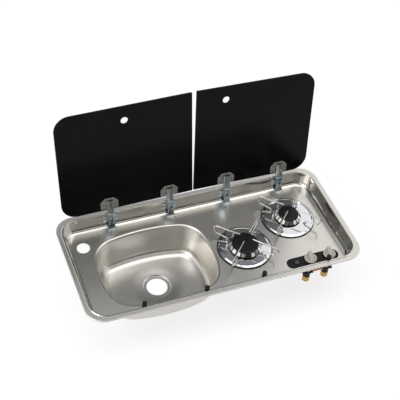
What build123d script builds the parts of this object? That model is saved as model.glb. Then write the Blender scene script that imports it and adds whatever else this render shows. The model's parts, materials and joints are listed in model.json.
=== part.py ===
from build123d import *
import os
from math import atan2, cos, degrees, radians, sin, sqrt, tan

# A sink and gas hob unit that drops into a cut-out in a worktop, with a glass lid in two halves.
# Millimetres. The origin is the centre of the unit on the worktop's surface, where the flange rests.
# +Z is up, +X is to the right and +Y is to the back, where the lids are hinged and stand open.

os.makedirs("parts", exist_ok=True)

# ---------------------------------------------------------------- driving dimensions: pressing
UNIT_LENGTH = 760.0
UNIT_DEPTH = 355.0
UNIT_CORNER = 50.0
SHEET = 0.8
FLANGE_WIDTH = 16.5
FLANGE_RISE = 2.5
LIP_RADIUS = 1.7
LIP_REACH = 4.0
BEAD_WIDTH = 5.5
BEAD_RISE = 1.3
BEAD_SLOPE = 1.7
BEAD_RADII = (1.0, 1.0, 1.5)
BEAD_MARGIN = 3.5
TRAY_CORNER = 45.0
TRAY_DEPTH = 36.5
TRAY_DRAFT = 8.3
FOOT_RADIUS = 13.0
FOOT_REACH = 20.0
SEAL_WIDTH = 8.0
SEAL_INSET = 2.0

# ---------------------------------------------------------------- driving dimensions: sink
BOWL_FROM_LEFT = 71.5
BOWL_FROM_FRONT = 39.5
BOWL_FROM_REAR = 61.5
BOWL_FROM_BURNER = 79.5
BOWL_LONG_RADIUS = 460.0
BOWL_CORNER_RADIUS = 72.0
BOWL_END_RADIUS = 237.0
BOWL_SEAM = 3.0
BOWL_ROLL = 7.0
BOWL_MOUTH_INSET = 6.5
BOWL_DEPTH = 94.0
BOWL_DRAFT = 8.2
BOWL_FOOT = 26.0
BOWL_FLOOR_INSET = 48.0
WASTE_OFFSET = (3.5, 1.0)
WASTE_RADIUS = 28.5
WASTE_RING_RADIUS = 39.0
WASTE_STEP = 4.0
WASTE_STEP_SLOPE = 2.5
WASTE_EDGE_RADIUS = 1.5
FLOOR_FALL = 3.0
FLOOR_DISH_MARGIN = 5.0
TAP_FROM_LEFT = 63.0
TAP_FROM_REAR = 81.5
TAP_RADIUS = 17.5

# ---------------------------------------------------------------- driving dimensions: lids
PIVOT_FROM_REAR = 22.5
LID_LEAN = 10.6
LID_EDGE_BEHIND_PIVOT = 12.1
LID_EDGE_ABOVE_PIVOT = 10.4
LID_FROM_FRONT = 47.0
LID_FROM_LEFT = 28.2
LID_FROM_RIGHT = 20.8
LID_SPLIT_X = 16.2
LID_SPLIT_GAP = 2.8
GLASS = 5.0
LID_CORNER = 42.0
LID_INNER_CORNER = 2.0
GLASS_BEVEL = 0.5
FINGER_RADIUS = 9.75
FINGER_ACROSS = (0.0, -87.0)
FINGER_FROM_TOP = (42.0, 40.0)
LID_SKEWS = (0.78, -1.04)
LEFT_HINGES_FROM_LEFT = (157.0, 326.0)
RIGHT_HINGES_FROM_RIGHT = (267.0, 106.5)
LID_CLOSED_GAP = 0.3

# ---------------------------------------------------------------- driving dimensions: hinges
PIN_RADIUS = 2.5
PIN_FIT = 0.05
PIN_SEAT = 0.02
PIN_HEAD_RADIUS = 3.6
PIN_HEAD = 1.0
EAR_OUTSIDE = 7.0
EAR_THICKNESS = 2.0
EAR_RADIUS = 4.5
CHEEK_CLEAR = 0.4
CHEEK = 2.0
CHEEK_RADIUS = 4.8
CHANNEL_WEB = 1.5
CHANNEL_TOP = 33.0
CHANNEL_SHOULDER = 26.0
CHANNEL_HEIGHT = 10.0
CHANNEL_END = -3.0
PAD_THICKNESS = 2.5
PAD_WIDTH = 49.0
PAD_LOW = 3.0
PAD_HIGH = 37.0
PAD_CHAMFER = 12.0
PAD_FOOT_CHAMFER = 4.0
PLATE_WIDTH = 44.0
PLATE_THICKNESS = 2.0
PLATE_TOP = -3.0
PLATE_BOTTOM = -25.0
PLATE_CORNER = 3.0
RIVET_ACROSS = 17.0
RIVET_DEPTHS = (-8.0, -20.0)
RIVET_RADIUS = 1.6
RIVET_HEAD_RADIUS = 3.0
RIVET_HEAD = 1.1
TONGUE_WIDTH = 18.0
TONGUE_START_Z = -22.0
TONGUE_REACH = 14.0
TONGUE_THICKNESS = 2.4

# ---------------------------------------------------------------- driving dimensions: buffers
LEFT_BUFFERS_FROM_LEFT = (146.0, 313.0)
RIGHT_BUFFERS_FROM_RIGHT = (288.0, 102.0)
BUFFER_RADIUS = 6.3
BUFFER_SEAT_Z = -4.0
BUFFER_FOOT_Z = -9.0
BUFFER_STANDOFF = 5.0
BUFFER_STEM_RADIUS = 2.4
BUFFER_STEM_FIT = 0.1
BUFFER_BARB_RADIUS = 4.2
BUFFER_BARB = 2.0
BUFFER_ROUNDING = 1.2

# ---------------------------------------------------------------- driving dimensions: burners
BURNERS_FROM_RIGHT = (285.0, 127.0)
FRONT_BURNER_FROM_FRONT = 149.5
REAR_BURNER_FROM_REAR = 139.5
CROWN_RADII = (43.0, 36.0)
CAP_RADII = (36.0, 28.0)
TUBE_ANGLES = (0.0, -90.0)
DECK_HOLE_RADIUS = 60.0
GASKET_OUTER = 75.0
GASKET_INNER = 67.0
GASKET_THICKNESS = 2.0
DISC_RADIUS = 72.5
DISC_RIM = 2.0
DISC_FLAT_RADIUS = 65.0
DISC_RISE = 2.2
DISC_EDGE_RADIUS = 1.5
NECK_INSET = 12.0
NECK_GAP = 2.0
NECK_WALL = 5.0
NECK_ABOVE_DISC = 2.5
BODY_FLANGE_INSET = 2.0
BODY_FLANGE = 4.0
BODY_FLOOR = 4.0
CARRIER_RADIUS = 56.0
CARRIER_TOP = -42.0
CARRIER_THICKNESS = 4.0
TUBE_Z = -50.0
TUBE_RADIUS = 7.0
TUBE_BORE = 5.0
TUBE_SOLE = 1.0
TUBE_END = 62.0
TUBE_WINDOW = (8.0, 20.0, 4.0)
TUBE_WINDOW_AT = 50.0
LIFT_GAP = 0.3
CROWN_SKIRT = 1.2
CROWN_HEIGHT = 10.4
CROWN_SPIGOT = 4.3
CROWN_SPIGOT_WALL = 3.0
CROWN_TOP_MARGIN = 1.0
PORT_COUNT = 18
PORT_WIDTH = 4.0
PORT_DEPTH = 3.0
PORT_LENGTH = 12.0
CAP_THICKNESS = 4.8
CAP_EDGE = 2.5
CAP_BEVEL = 2.0
CAP_SPIGOT = 4.0
SCREW_COUNT = 3
SCREW_INSET = 6.0
SCREW_RADIUS = 2.0
SCREW_FIT = 0.05
SCREW_HEAD_RADIUS = 3.2
SCREW_HEAD = 1.6
BASE_SCREW_RADIUS = 2.5
BASE_SCREW_HEAD_RADIUS = 4.5
BASE_SCREW_HEAD = 3.0
STRAP_SHEET = 1.5
STRAP_WIDTH = 20.0
STRAP_LEG = 61.5
STRAP_FOOT = 76.0
STRAP_BEND = 3.0
ARM_WIRE = 2.0
ARM_ROOT = 50.0
ARM_HOLE = 4.0
ARM_PEG_FIT = 0.05
ARM_PEG_BELOW = 1.0
ARM_ELBOW_Z = -25.0
ARM_KNEE = (88.0, -19.0)
ARM_TIP = (96.0, 6.5)
ARM_END = (19.0, 8.5)
ARM_BENDS = (5.0, 9.0, 8.0)
ARM_FIRST_ANGLE = 45.0
ARM_COUNT = 4
PROBE_OUTSET = 5.5
THERMOCOUPLE_ANGLE = 108.0
THERMOCOUPLE_RADIUS = 2.0
THERMOCOUPLE_TOP = -19.0
THERMOCOUPLE_BOTTOM = -62.0
ELECTRODE_ANGLE = 164.0
ELECTRODE_RADIUS = 3.0
ELECTRODE_TOP = -24.0
ELECTRODE_BOTTOM = -54.0
ELECTRODE_PIN_RADIUS = 1.0
ELECTRODE_PIN = 6.0
PROBE_COLLAR = 1.6
PROBE_COLLAR_HEIGHT = 2.5
PROBE_FIT = 0.05
PROBE_HOLE_GAP = 1.0
INJECTOR_SHANK = 8.0
INJECTOR_FIT = 0.03
INJECTOR_FLATS = 14.0
INJECTOR_HEAD = 8.0
INJECTOR_JET = 0.8
PIPE_RADIUS = 4.0
PIPE_BORE = 3.0
PIPE_FIT = 0.05
PIPE_ENTRY = 4.0
PIPE_STRAIGHTS = (0.3, 0.25)
PIPE_BEND = 0.8

# ---------------------------------------------------------------- driving dimensions: controls
VALVES_FROM_RIGHT = (130.0, 74.0)
CONTROL_FROM_FRONT = 60.0
IGNITER_FROM_RIGHT = 170.0
SLOT_FROM_RIGHT = 123.0
PANEL_SLOT_LENGTH = 152.0
PANEL_SLOT_WIDTH = 35.0
PANEL_GAP = 0.3
PANEL_BELOW_DECK = 0.5
PANEL_FLANGE = 1.5
PANEL_FLANGE_REACH = 6.0
SPINDLE_HOLE_RADIUS = 5.0
VALVE_TOP = -40.5
VALVE_COLLAR_RADIUS = 9.0
VALVE_COLLAR = 3.0
VALVE_BLOCK = (24.0, 26.0, 24.0)
VALVE_BARREL_RADIUS = 9.0
VALVE_BOTTOM = -82.0
VALVE_BORE = 5.0
VALVE_BORE_DEPTH = 8.0
VALVE_PASSAGE = 3.0
VALVE_BOSS_RADIUS = 7.0
VALVE_BOSS = 8.0
CONE_RADIUS = 6.0
CONE_FIT = 0.05
CONE_TOP = -45.0
CONE_LENGTH = 16.0
CONE_END_GAP = 0.3
SPINDLE_RADIUS = 4.0
SPINDLE_TOP = -24.0
KNOB_RADIUS = 17.0
KNOB_BOTTOM = -33.5
KNOB_BASE = 4.5
KNOB_EDGE = 1.5
KNOB_TOP = -13.0
KNOB_FIN = (12.0, 31.0)
KNOB_FIN_TAPER = 10.0
KNOB_FIN_FRONT = -25.0
KNOB_TRAVEL = 3.0
KNOB_BORE_SPARE = 0.4
KNOB_FIT = 0.05
BRACKET_SHEET = 1.5
BRACKET_FROM_RIGHT = (148.0, 60.0)
BRACKET_FRONT = 12.0
BRACKET_TAB = 24.0
BRACKET_NOTCH_BACK = 12.0
BRACKET_BACK = 27.5
BRACKET_LEGS_FROM_RIGHT = ((112.0, 92.0), (68.0, 60.0))
BRACKET_FOOT = 9.0
ADAPTER_RADIUS = 9.3
ADAPTER_LENGTH = 18.5
ADAPTER_STUD_FIT = 0.03
ADAPTER_PORT = 2.5
ADAPTER_STEM_RADIUS = 6.0
ADAPTER_STEM = 10.0
NUT_FLATS = 19.0
NUT_LENGTH = 18.5
NUT_FIT = 0.03
NUT_CHAMFER = 1.2
RAIL_BELOW_BRACKET = 6.0
INLET_REACH = 47.5
INLET_SPIGOT_RADIUS = 3.6
INLET_SPIGOT_OUTSIDE = 1.0
BUTTON_RADIUS = 6.5
BUTTON_TOP = -33.5
BUTTON_CAP = 8.5
BUTTON_STEM_RADIUS = 3.0
BUTTON_STEM = 12.0
BUTTON_TRAVEL = 3.5
BUTTON_GAP = 0.3
BUTTON_FIT = 0.05
BUTTON_EDGE = 1.0
IGNITER_RADIUS = 8.5
IGNITER_COLLAR_RADIUS = 10.0
IGNITER_COLLAR = 2.5
IGNITER_BOTTOM = -62.0

# ---------------------------------------------------------------- worked out from these
LEFT = -UNIT_LENGTH / 2
RIGHT = UNIT_LENGTH / 2
FRONT = -UNIT_DEPTH / 2
REAR = UNIT_DEPTH / 2
DECK_TOP = -TRAY_DEPTH
DECK_BOTTOM = DECK_TOP - SHEET
BEAD_TOP = FLANGE_RISE + BEAD_RISE
WALL_TOP_U = 0.4
WALL_LEAN = tan(radians(TRAY_DRAFT))
FOOT_U = WALL_TOP_U - (BEAD_TOP - DECK_TOP) * WALL_LEAN
TRAY_LENGTH = UNIT_LENGTH - 2 * FLANGE_WIDTH
TRAY_WIDTH = UNIT_DEPTH - 2 * FLANGE_WIDTH
PLATE_INNER = BEAD_WIDTH + BEAD_MARGIN
BURNERS_X = [RIGHT - distance for distance in BURNERS_FROM_RIGHT]
BURNERS_Y = (FRONT + FRONT_BURNER_FROM_FRONT, REAR - REAR_BURNER_FROM_REAR)
# name, x, y, crown radius, cap radius, direction of the mixing tube in degrees
BURNERS = list(zip(("front", "rear"), BURNERS_X, BURNERS_Y, CROWN_RADII, CAP_RADII, TUBE_ANGLES))
BOWL_LEFT = LEFT + BOWL_FROM_LEFT
BOWL_RIGHT = BURNERS_X[0] - BOWL_FROM_BURNER
BOWL_X = (BOWL_LEFT + BOWL_RIGHT) / 2
BOWL_Y = (FRONT + BOWL_FROM_FRONT + REAR - BOWL_FROM_REAR) / 2
BOWL_HALF_LENGTH = (BOWL_RIGHT - BOWL_LEFT) / 2
BOWL_HALF_DEPTH = (UNIT_DEPTH - BOWL_FROM_FRONT - BOWL_FROM_REAR) / 2
BOWL_FLOOR_Z = DECK_TOP - BOWL_DEPTH
FLOOR_DISH_RADIUS = BOWL_HALF_DEPTH - BOWL_FLOOR_INSET - FLOOR_DISH_MARGIN
WASTE_X = BOWL_X + WASTE_OFFSET[0]
WASTE_Y = BOWL_Y + WASTE_OFFSET[1]
TAP_X = LEFT + TAP_FROM_LEFT
TAP_Y = REAR - TAP_FROM_REAR
WASTE_Z = BOWL_FLOOR_Z - FLOOR_FALL - WASTE_STEP
GASKET_TOP = DECK_TOP + GASKET_THICKNESS
DISC_TOP = GASKET_TOP + SHEET + DISC_RISE
NECK_TOP = DISC_TOP + NECK_ABOVE_DISC
BODY_BOTTOM = TUBE_Z - TUBE_RADIUS - TUBE_SOLE
CARRIER_BOTTOM = CARRIER_TOP - CARRIER_THICKNESS
CROWN_BOTTOM = NECK_TOP + LIFT_GAP
CROWN_TOP = CROWN_BOTTOM + CROWN_HEIGHT
CAP_BOTTOM = CROWN_TOP + LIFT_GAP
PANEL_TOP = DECK_TOP - PANEL_BELOW_DECK
PANEL_BOTTOM = DECK_BOTTOM - PANEL_FLANGE
BRACKET_TOP = VALVE_BOTTOM
BRACKET_BOTTOM = BRACKET_TOP - BRACKET_SHEET
ADAPTER_BOTTOM = BRACKET_BOTTOM - ADAPTER_LENGTH
RAIL_Z = BRACKET_BOTTOM - RAIL_BELOW_BRACKET
ARM_PATH = (
    (ARM_ROOT, CARRIER_BOTTOM - ARM_PEG_BELOW),
    (ARM_ROOT, ARM_ELBOW_Z),
    ARM_KNEE,
    ARM_TIP,
    ARM_END,
)
CHEEK_OUTSIDE = EAR_OUTSIDE + CHEEK_CLEAR + CHEEK
PIVOT_Y = REAR - PIVOT_FROM_REAR
PIVOT_Z = FLANGE_RISE
LID_EDGE_Y = PIVOT_Y + LID_EDGE_BEHIND_PIVOT
LID_EDGE_Z = PIVOT_Z + LID_EDGE_ABOVE_PIVOT
LID_HEIGHT = UNIT_DEPTH - LID_FROM_FRONT
LID_ENDS = (
    (LEFT + LID_FROM_LEFT, LID_SPLIT_X - LID_SPLIT_GAP / 2),
    (LID_SPLIT_X + LID_SPLIT_GAP / 2, RIGHT - LID_FROM_RIGHT),
)
# name, left end, right end, side of the rounded corners, in-plane skew, finger hole across and up
LIDS = [
    ("left", *LID_ENDS[0], -1, LID_SKEWS[0], FINGER_ACROSS[0], LID_HEIGHT - FINGER_FROM_TOP[0]),
    ("right", *LID_ENDS[1], 1, LID_SKEWS[1], FINGER_ACROSS[1], LID_HEIGHT - FINGER_FROM_TOP[1]),
]
HINGE_X = (
    *[LEFT + distance for distance in LEFT_HINGES_FROM_LEFT],
    *[RIGHT - distance for distance in RIGHT_HINGES_FROM_RIGHT],
)
BUFFER_X = (
    *[LEFT + distance for distance in LEFT_BUFFERS_FROM_LEFT],
    *[RIGHT - distance for distance in RIGHT_BUFFERS_FROM_RIGHT],
)
TONGUE_TOE = PIVOT_Y - TONGUE_REACH
VALVE_X = [RIGHT - distance for distance in VALVES_FROM_RIGHT]
CONTROL_Y = FRONT + CONTROL_FROM_FRONT
IGNITER_X = RIGHT - IGNITER_FROM_RIGHT
SLOT_CENTRE_X = RIGHT - SLOT_FROM_RIGHT
BRACKET_X = [RIGHT - distance for distance in BRACKET_FROM_RIGHT]
BRACKET_Y = (CONTROL_Y - BRACKET_FRONT, CONTROL_Y + BRACKET_BACK)
BRACKET_NOTCH = VALVE_X[1] - VALVE_X[0] - BRACKET_TAB
BRACKET_NOTCH_END = CONTROL_Y + BRACKET_NOTCH_BACK
BRACKET_LEGS = [(RIGHT - start, RIGHT - end) for start, end in BRACKET_LEGS_FROM_RIGHT]
INLET_END_Y = CONTROL_Y + INLET_REACH

# The bowl's outline is drawn with three tangent arcs in each quarter. The corner arc's centre lies
# where circles about the other two centres cross.
LONG_CENTRE = (0.0, BOWL_HALF_DEPTH - BOWL_LONG_RADIUS)
END_CENTRE = (BOWL_HALF_LENGTH - BOWL_END_RADIUS, 0.0)
LONG_REACH = BOWL_LONG_RADIUS - BOWL_CORNER_RADIUS
END_REACH = BOWL_END_RADIUS - BOWL_CORNER_RADIUS
CENTRE_GAP = sqrt((END_CENTRE[0] - LONG_CENTRE[0]) ** 2 + (END_CENTRE[1] - LONG_CENTRE[1]) ** 2)
ALONG = (LONG_REACH**2 - END_REACH**2 + CENTRE_GAP**2) / (2 * CENTRE_GAP)
ACROSS = sqrt(LONG_REACH**2 - ALONG**2)
GAP_X = (END_CENTRE[0] - LONG_CENTRE[0]) / CENTRE_GAP
GAP_Y = (END_CENTRE[1] - LONG_CENTRE[1]) / CENTRE_GAP
CORNER_CENTRE = (
    LONG_CENTRE[0] + ALONG * GAP_X + ACROSS * GAP_Y,
    LONG_CENTRE[1] + ALONG * GAP_Y - ACROSS * GAP_X,
)
END_SPAN = degrees(atan2(CORNER_CENTRE[1] - END_CENTRE[1], CORNER_CENTRE[0] - END_CENTRE[0]))
LONG_START = degrees(atan2(CORNER_CENTRE[1] - LONG_CENTRE[1], CORNER_CENTRE[0] - LONG_CENTRE[0]))
# centre, radius, first angle and span of each arc of the outline's first quarter
BOWL_ARCS = (
    (END_CENTRE, BOWL_END_RADIUS, 0.0, END_SPAN),
    (CORNER_CENTRE, BOWL_CORNER_RADIUS, END_SPAN, LONG_START - END_SPAN),
    (LONG_CENTRE, BOWL_LONG_RADIUS, LONG_START, 90.0 - LONG_START),
)


# ---------------------------------------------------------------- helpers
def save(piece, label):
    """Label a finished piece and write it to its own file."""
    piece.part.label = label
    export_step(piece.part, f"parts/{label}.step")


def sheet_section(points, radii, thickness=SHEET, side=Side.LEFT):
    """Section of bent sheet: the line of one face, rounded at its corners, and its thickness."""
    with BuildSketch() as section:
        with BuildLine():
            FilletPolyline(*points, radius=list(radii))
            offset(amount=thickness, side=side)
        make_face()
    return section.sketch


def closed_section(points):
    """Face inside a closed outline of straight lines."""
    with BuildSketch() as section:
        with BuildLine():
            Polyline(*points, close=True)
        make_face()
    return section.sketch


def upright(x, y, angle=0.0):
    """Plane through the vertical line at x, y: its own x points out at angle, its own y is up."""
    c = cos(radians(angle))
    s = sin(radians(angle))
    return Plane(origin=(x, y, 0), x_dir=(c, s, 0), z_dir=(s, -c, 0))


def facing(x, y, z, angle):
    """Plane at a point, looking out level at angle: its own y is up."""
    c = cos(radians(angle))
    s = sin(radians(angle))
    return Plane(origin=(x, y, z), x_dir=(-s, c, 0), z_dir=(c, s, 0))


def side_plane(x):
    """Plane across the unit at x: its own x is the unit's Y and its own y is up."""
    return Plane(origin=(x, 0, 0), x_dir=(0, 1, 0), z_dir=(1, 0, 0))


def wall_y(z):
    """Distance of the tray wall's inner face from the unit's centre line, at height z."""
    return TRAY_WIDTH / 2 + WALL_TOP_U - (BEAD_TOP - z) * WALL_LEAN


def wall_plane(side, x, z):
    """Plane on the tray's wall at x and height z, at the back (side 1) or the front (side -1).
    Its own y is up the wall and its normal points into the tray."""
    c = cos(radians(TRAY_DRAFT))
    s = sin(radians(TRAY_DRAFT))
    return Plane(origin=(x, side * wall_y(z), z), x_dir=(side, 0, 0), z_dir=(0, -side * c, s))


def glass_plane(x, skew=0.0):
    """Plane on an open lid's front face, from its lower edge: its own y is up the glass. A skew
    turns it in the face, about the middle of that edge."""
    c = cos(radians(LID_LEAN))
    s = sin(radians(LID_LEAN))
    along = (cos(radians(skew)), s * sin(radians(skew)), c * sin(radians(skew)))
    return Plane(origin=(x, LID_EDGE_Y, LID_EDGE_Z), x_dir=along, z_dir=(0, -c, s))


def glass_side_plane(x):
    """Plane across an open lid at x: its own x is up the glass and its own y is out of its front."""
    c = cos(radians(LID_LEAN))
    s = sin(radians(LID_LEAN))
    return Plane(origin=(x, LID_EDGE_Y, LID_EDGE_Z), x_dir=(0, s, c), z_dir=(1, 0, 0))


def bowl_outline(grow):
    """Face inside the bowl's outline, grown outwards by grow, about the bowl's centre."""
    with BuildSketch() as outline:
        with BuildLine():
            for centre, radius, start, span in BOWL_ARCS:
                CenterArc(centre, radius + grow, start, span)
            mirror(about=Plane.YZ)
            mirror(about=Plane.XZ)
        make_face()
    return outline.sketch


def panel_outline(grow):
    """Long round-ended face of the control panel's slot, grown outwards by grow."""
    with BuildSketch() as outline:
        with Locations((SLOT_CENTRE_X, CONTROL_Y)):
            SlotOverall(PANEL_SLOT_LENGTH + 2 * grow, PANEL_SLOT_WIDTH + 2 * grow)
    return outline.sketch


def pivot_on_glass():
    """The hinge axis in an open lid's own frame: up the glass, and out of its front face."""
    c = cos(radians(LID_LEAN))
    s = sin(radians(LID_LEAN))
    dy = PIVOT_Y - LID_EDGE_Y
    dz = PIVOT_Z - LID_EDGE_Z
    return dy * s + dz * c, -dy * c + dz * s


PIVOT_UP, PIVOT_OUT = pivot_on_glass()
BUFFER_TOP = PIVOT_Z + PIVOT_OUT - LID_CLOSED_GAP
RIVET_PLACES = [(x + side * RIVET_ACROSS, z) for x in HINGE_X for side in (-1, 1) for z in RIVET_DEPTHS]

# ---------------------------------------------------------------- top pressing
lip_section = sheet_section(((0, 0), (0, FLANGE_RISE), (-LIP_REACH, FLANGE_RISE)), (LIP_RADIUS,))
wall_section = sheet_section(
    (
        (PLATE_INNER, FLANGE_RISE),
        (BEAD_WIDTH, FLANGE_RISE),
        (BEAD_WIDTH - BEAD_SLOPE, BEAD_TOP),
        (WALL_TOP_U, BEAD_TOP),
        (FOOT_U, DECK_TOP),
        (-FOOT_REACH, DECK_TOP),
    ),
    (*BEAD_RADII, FOOT_RADIUS),
)
rings = (
    (lip_section, UNIT_LENGTH, UNIT_DEPTH, UNIT_CORNER),
    (wall_section, TRAY_LENGTH, TRAY_WIDTH, TRAY_CORNER),
)

with BuildPart() as top_pressing:
    for section, length, depth, corner in rings:
        straight = depth / 2 - corner
        end = upright(length / 2, 0)
        with BuildSketch(end):
            add(section)
        extrude(amount=-straight)
        with BuildSketch(end.offset(-straight)):
            add(section)
        revolve(axis=Axis((length / 2 - corner, straight, 0), (0, 0, 1)), revolution_arc=90)
        with BuildSketch(upright(0, depth / 2, 90)):
            add(section)
        extrude(amount=length / 2 - corner)
    mirror(about=Plane.YZ)
    mirror(about=Plane.XZ)
    with BuildSketch(Plane.XY.offset(FLANGE_RISE - SHEET)):
        RectangleRounded(UNIT_LENGTH - 2 * LIP_REACH, UNIT_DEPTH - 2 * LIP_REACH, UNIT_CORNER - LIP_REACH)
        RectangleRounded(
            TRAY_LENGTH + 2 * PLATE_INNER,
            TRAY_WIDTH + 2 * PLATE_INNER,
            TRAY_CORNER + PLATE_INNER,
            mode=Mode.SUBTRACT,
        )
    extrude(amount=SHEET)
    with BuildSketch(Plane.XY.offset(DECK_BOTTOM)):
        RectangleRounded(TRAY_LENGTH - 2 * FOOT_REACH, TRAY_WIDTH - 2 * FOOT_REACH, TRAY_CORNER - FOOT_REACH)
        with Locations((BOWL_X, BOWL_Y)):
            add(bowl_outline(BOWL_SEAM), mode=Mode.SUBTRACT)
        with Locations((TAP_X, TAP_Y)):
            Circle(TAP_RADIUS, mode=Mode.SUBTRACT)
        with Locations(*[(x, y) for _, x, y, _, _, _ in BURNERS]):
            Circle(DECK_HOLE_RADIUS, mode=Mode.SUBTRACT)
        add(panel_outline(0), mode=Mode.SUBTRACT)
    extrude(amount=SHEET)
    with Locations(*[wall_plane(1, x, z) for x, z in RIVET_PLACES]):
        Cylinder(RIVET_RADIUS, 4 * SHEET, mode=Mode.SUBTRACT)
    with Locations(*[wall_plane(-1, x, BUFFER_SEAT_Z) for x in BUFFER_X]):
        Cylinder(BUFFER_STEM_RADIUS + BUFFER_STEM_FIT, 4 * SHEET, mode=Mode.SUBTRACT)
save(top_pressing, "top_pressing")

# ---------------------------------------------------------------- sink bowl
bowl_foot_inset = BOWL_MOUTH_INSET + BOWL_DEPTH * tan(radians(BOWL_DRAFT))
bowl_section = sheet_section(
    (
        (BOWL_SEAM, DECK_TOP),
        (-BOWL_MOUTH_INSET, DECK_TOP),
        (-bowl_foot_inset, BOWL_FLOOR_Z),
        (-BOWL_FLOOR_INSET, BOWL_FLOOR_Z),
    ),
    (BOWL_ROLL, BOWL_FOOT),
)
dish_section = sheet_section(
    (
        (FLOOR_DISH_RADIUS, BOWL_FLOOR_Z),
        (WASTE_RING_RADIUS, BOWL_FLOOR_Z - FLOOR_FALL),
        (WASTE_RING_RADIUS - WASTE_STEP_SLOPE, WASTE_Z),
        (WASTE_RADIUS, WASTE_Z),
    ),
    (WASTE_EDGE_RADIUS, WASTE_EDGE_RADIUS),
)

with BuildPart() as sink_bowl:
    for centre, radius, start, span in BOWL_ARCS:
        hub_x = BOWL_X + centre[0]
        hub_y = BOWL_Y + centre[1]
        edge_x = hub_x + radius * cos(radians(start))
        edge_y = hub_y + radius * sin(radians(start))
        with BuildSketch(upright(edge_x, edge_y, start)):
            add(bowl_section)
        revolve(axis=Axis((hub_x, hub_y, 0), (0, 0, 1)), revolution_arc=span)
    mirror(about=Plane.YZ.offset(BOWL_X))
    mirror(about=Plane.XZ.offset(-BOWL_Y))
    with BuildSketch(Plane.XY.offset(BOWL_FLOOR_Z - SHEET)):
        with Locations((BOWL_X, BOWL_Y)):
            add(bowl_outline(-BOWL_FLOOR_INSET))
        with Locations((WASTE_X, WASTE_Y)):
            Circle(FLOOR_DISH_RADIUS, mode=Mode.SUBTRACT)
    extrude(amount=SHEET)
    with BuildSketch(upright(WASTE_X, WASTE_Y)):
        add(dish_section)
    revolve(axis=Axis((WASTE_X, WASTE_Y, 0), (0, 0, 1)))
save(sink_bowl, "sink_bowl")

# ---------------------------------------------------------------- flange seal
with BuildPart() as flange_seal:
    with BuildSketch():
        seal_inner = SEAL_INSET + SEAL_WIDTH
        RectangleRounded(UNIT_LENGTH - 2 * SEAL_INSET, UNIT_DEPTH - 2 * SEAL_INSET, UNIT_CORNER - SEAL_INSET)
        RectangleRounded(
            UNIT_LENGTH - 2 * seal_inner,
            UNIT_DEPTH - 2 * seal_inner,
            UNIT_CORNER - seal_inner,
            mode=Mode.SUBTRACT,
        )
    extrude(amount=FLANGE_RISE - SHEET)
save(flange_seal, "flange_seal")

# ---------------------------------------------------------------- lid buffers
with BuildPart() as lid_buffers:
    buffer_y = wall_y(FLANGE_RISE) - BUFFER_STANDOFF
    with BuildSketch(Plane.XY.offset(BUFFER_FOOT_Z)):
        with Locations(*[(x, -buffer_y) for x in BUFFER_X]):
            Circle(BUFFER_RADIUS)
    extrude(amount=BUFFER_TOP - BUFFER_FOOT_Z)
    fillet(lid_buffers.faces().filter_by(Axis.Z).edges(), BUFFER_ROUNDING)
    split(bisect_by=wall_plane(-1, 0, 0), keep=Keep.TOP)
    for x in BUFFER_X:
        seat = wall_plane(-1, x, BUFFER_SEAT_Z)
        with BuildSketch(seat):
            Circle(BUFFER_STEM_RADIUS)
        extrude(amount=-SHEET)
        with BuildSketch(seat.offset(-SHEET)):
            Circle(BUFFER_BARB_RADIUS)
        extrude(amount=-BUFFER_BARB, taper=20)
save(lid_buffers, "lid_buffers")

# ---------------------------------------------------------------- lids and their pads
for name, lid_start, lid_end, rounded_side, skew, finger_x, finger_up in LIDS:
    x = (lid_start + lid_end) / 2
    with BuildPart() as lid:
        with BuildSketch(glass_plane(x, skew)) as pane:
            with Locations((0, LID_HEIGHT / 2)):
                Rectangle(lid_end - lid_start, LID_HEIGHT)
            corners = pane.vertices().sort_by(Axis.X)
            outer = corners[:2] if rounded_side < 0 else corners[-2:]
            inner = corners[-2:] if rounded_side < 0 else corners[:2]
            fillet(outer, LID_CORNER)
            fillet(inner, LID_INNER_CORNER)
            with Locations((finger_x, finger_up)):
                Circle(FINGER_RADIUS, mode=Mode.SUBTRACT)
        extrude(amount=-GLASS)
        chamfer(lid.faces().sort_by(SortBy.AREA)[-2:].edges(), GLASS_BEVEL)
    save(lid, f"lid_{name}")

    with BuildPart() as pads:
        with BuildSketch(glass_plane(0)) as octagons:
            near = [hinge for hinge in HINGE_X if lid_start < hinge < lid_end]
            with Locations(*[(hinge, (PAD_LOW + PAD_HIGH) / 2) for hinge in near]):
                Rectangle(PAD_WIDTH, PAD_HIGH - PAD_LOW)
            rows = octagons.vertices().group_by(Axis.Y)
            chamfer(rows[-1], PAD_CHAMFER)
            chamfer(octagons.vertices().group_by(Axis.Y)[0], PAD_FOOT_CHAMFER)
        extrude(amount=PAD_THICKNESS)
    save(pads, f"hinge_pads_{name}")

# ---------------------------------------------------------------- hinges
arm_outline = closed_section(
    (
        (CHANNEL_TOP, PAD_THICKNESS),
        (CHANNEL_TOP, CHANNEL_HEIGHT),
        (CHANNEL_SHOULDER, CHANNEL_HEIGHT),
        (PIVOT_UP, PIVOT_OUT + CHEEK_RADIUS),
        (PIVOT_UP, PIVOT_OUT - CHEEK_RADIUS),
        (PAD_LOW + CHEEK, PAD_THICKNESS),
    )
)
web_slope = (PIVOT_OUT + CHEEK_RADIUS - CHANNEL_HEIGHT) / (CHANNEL_SHOULDER - PIVOT_UP)
web_end = CHANNEL_HEIGHT + (CHANNEL_SHOULDER - CHANNEL_END) * web_slope
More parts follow.
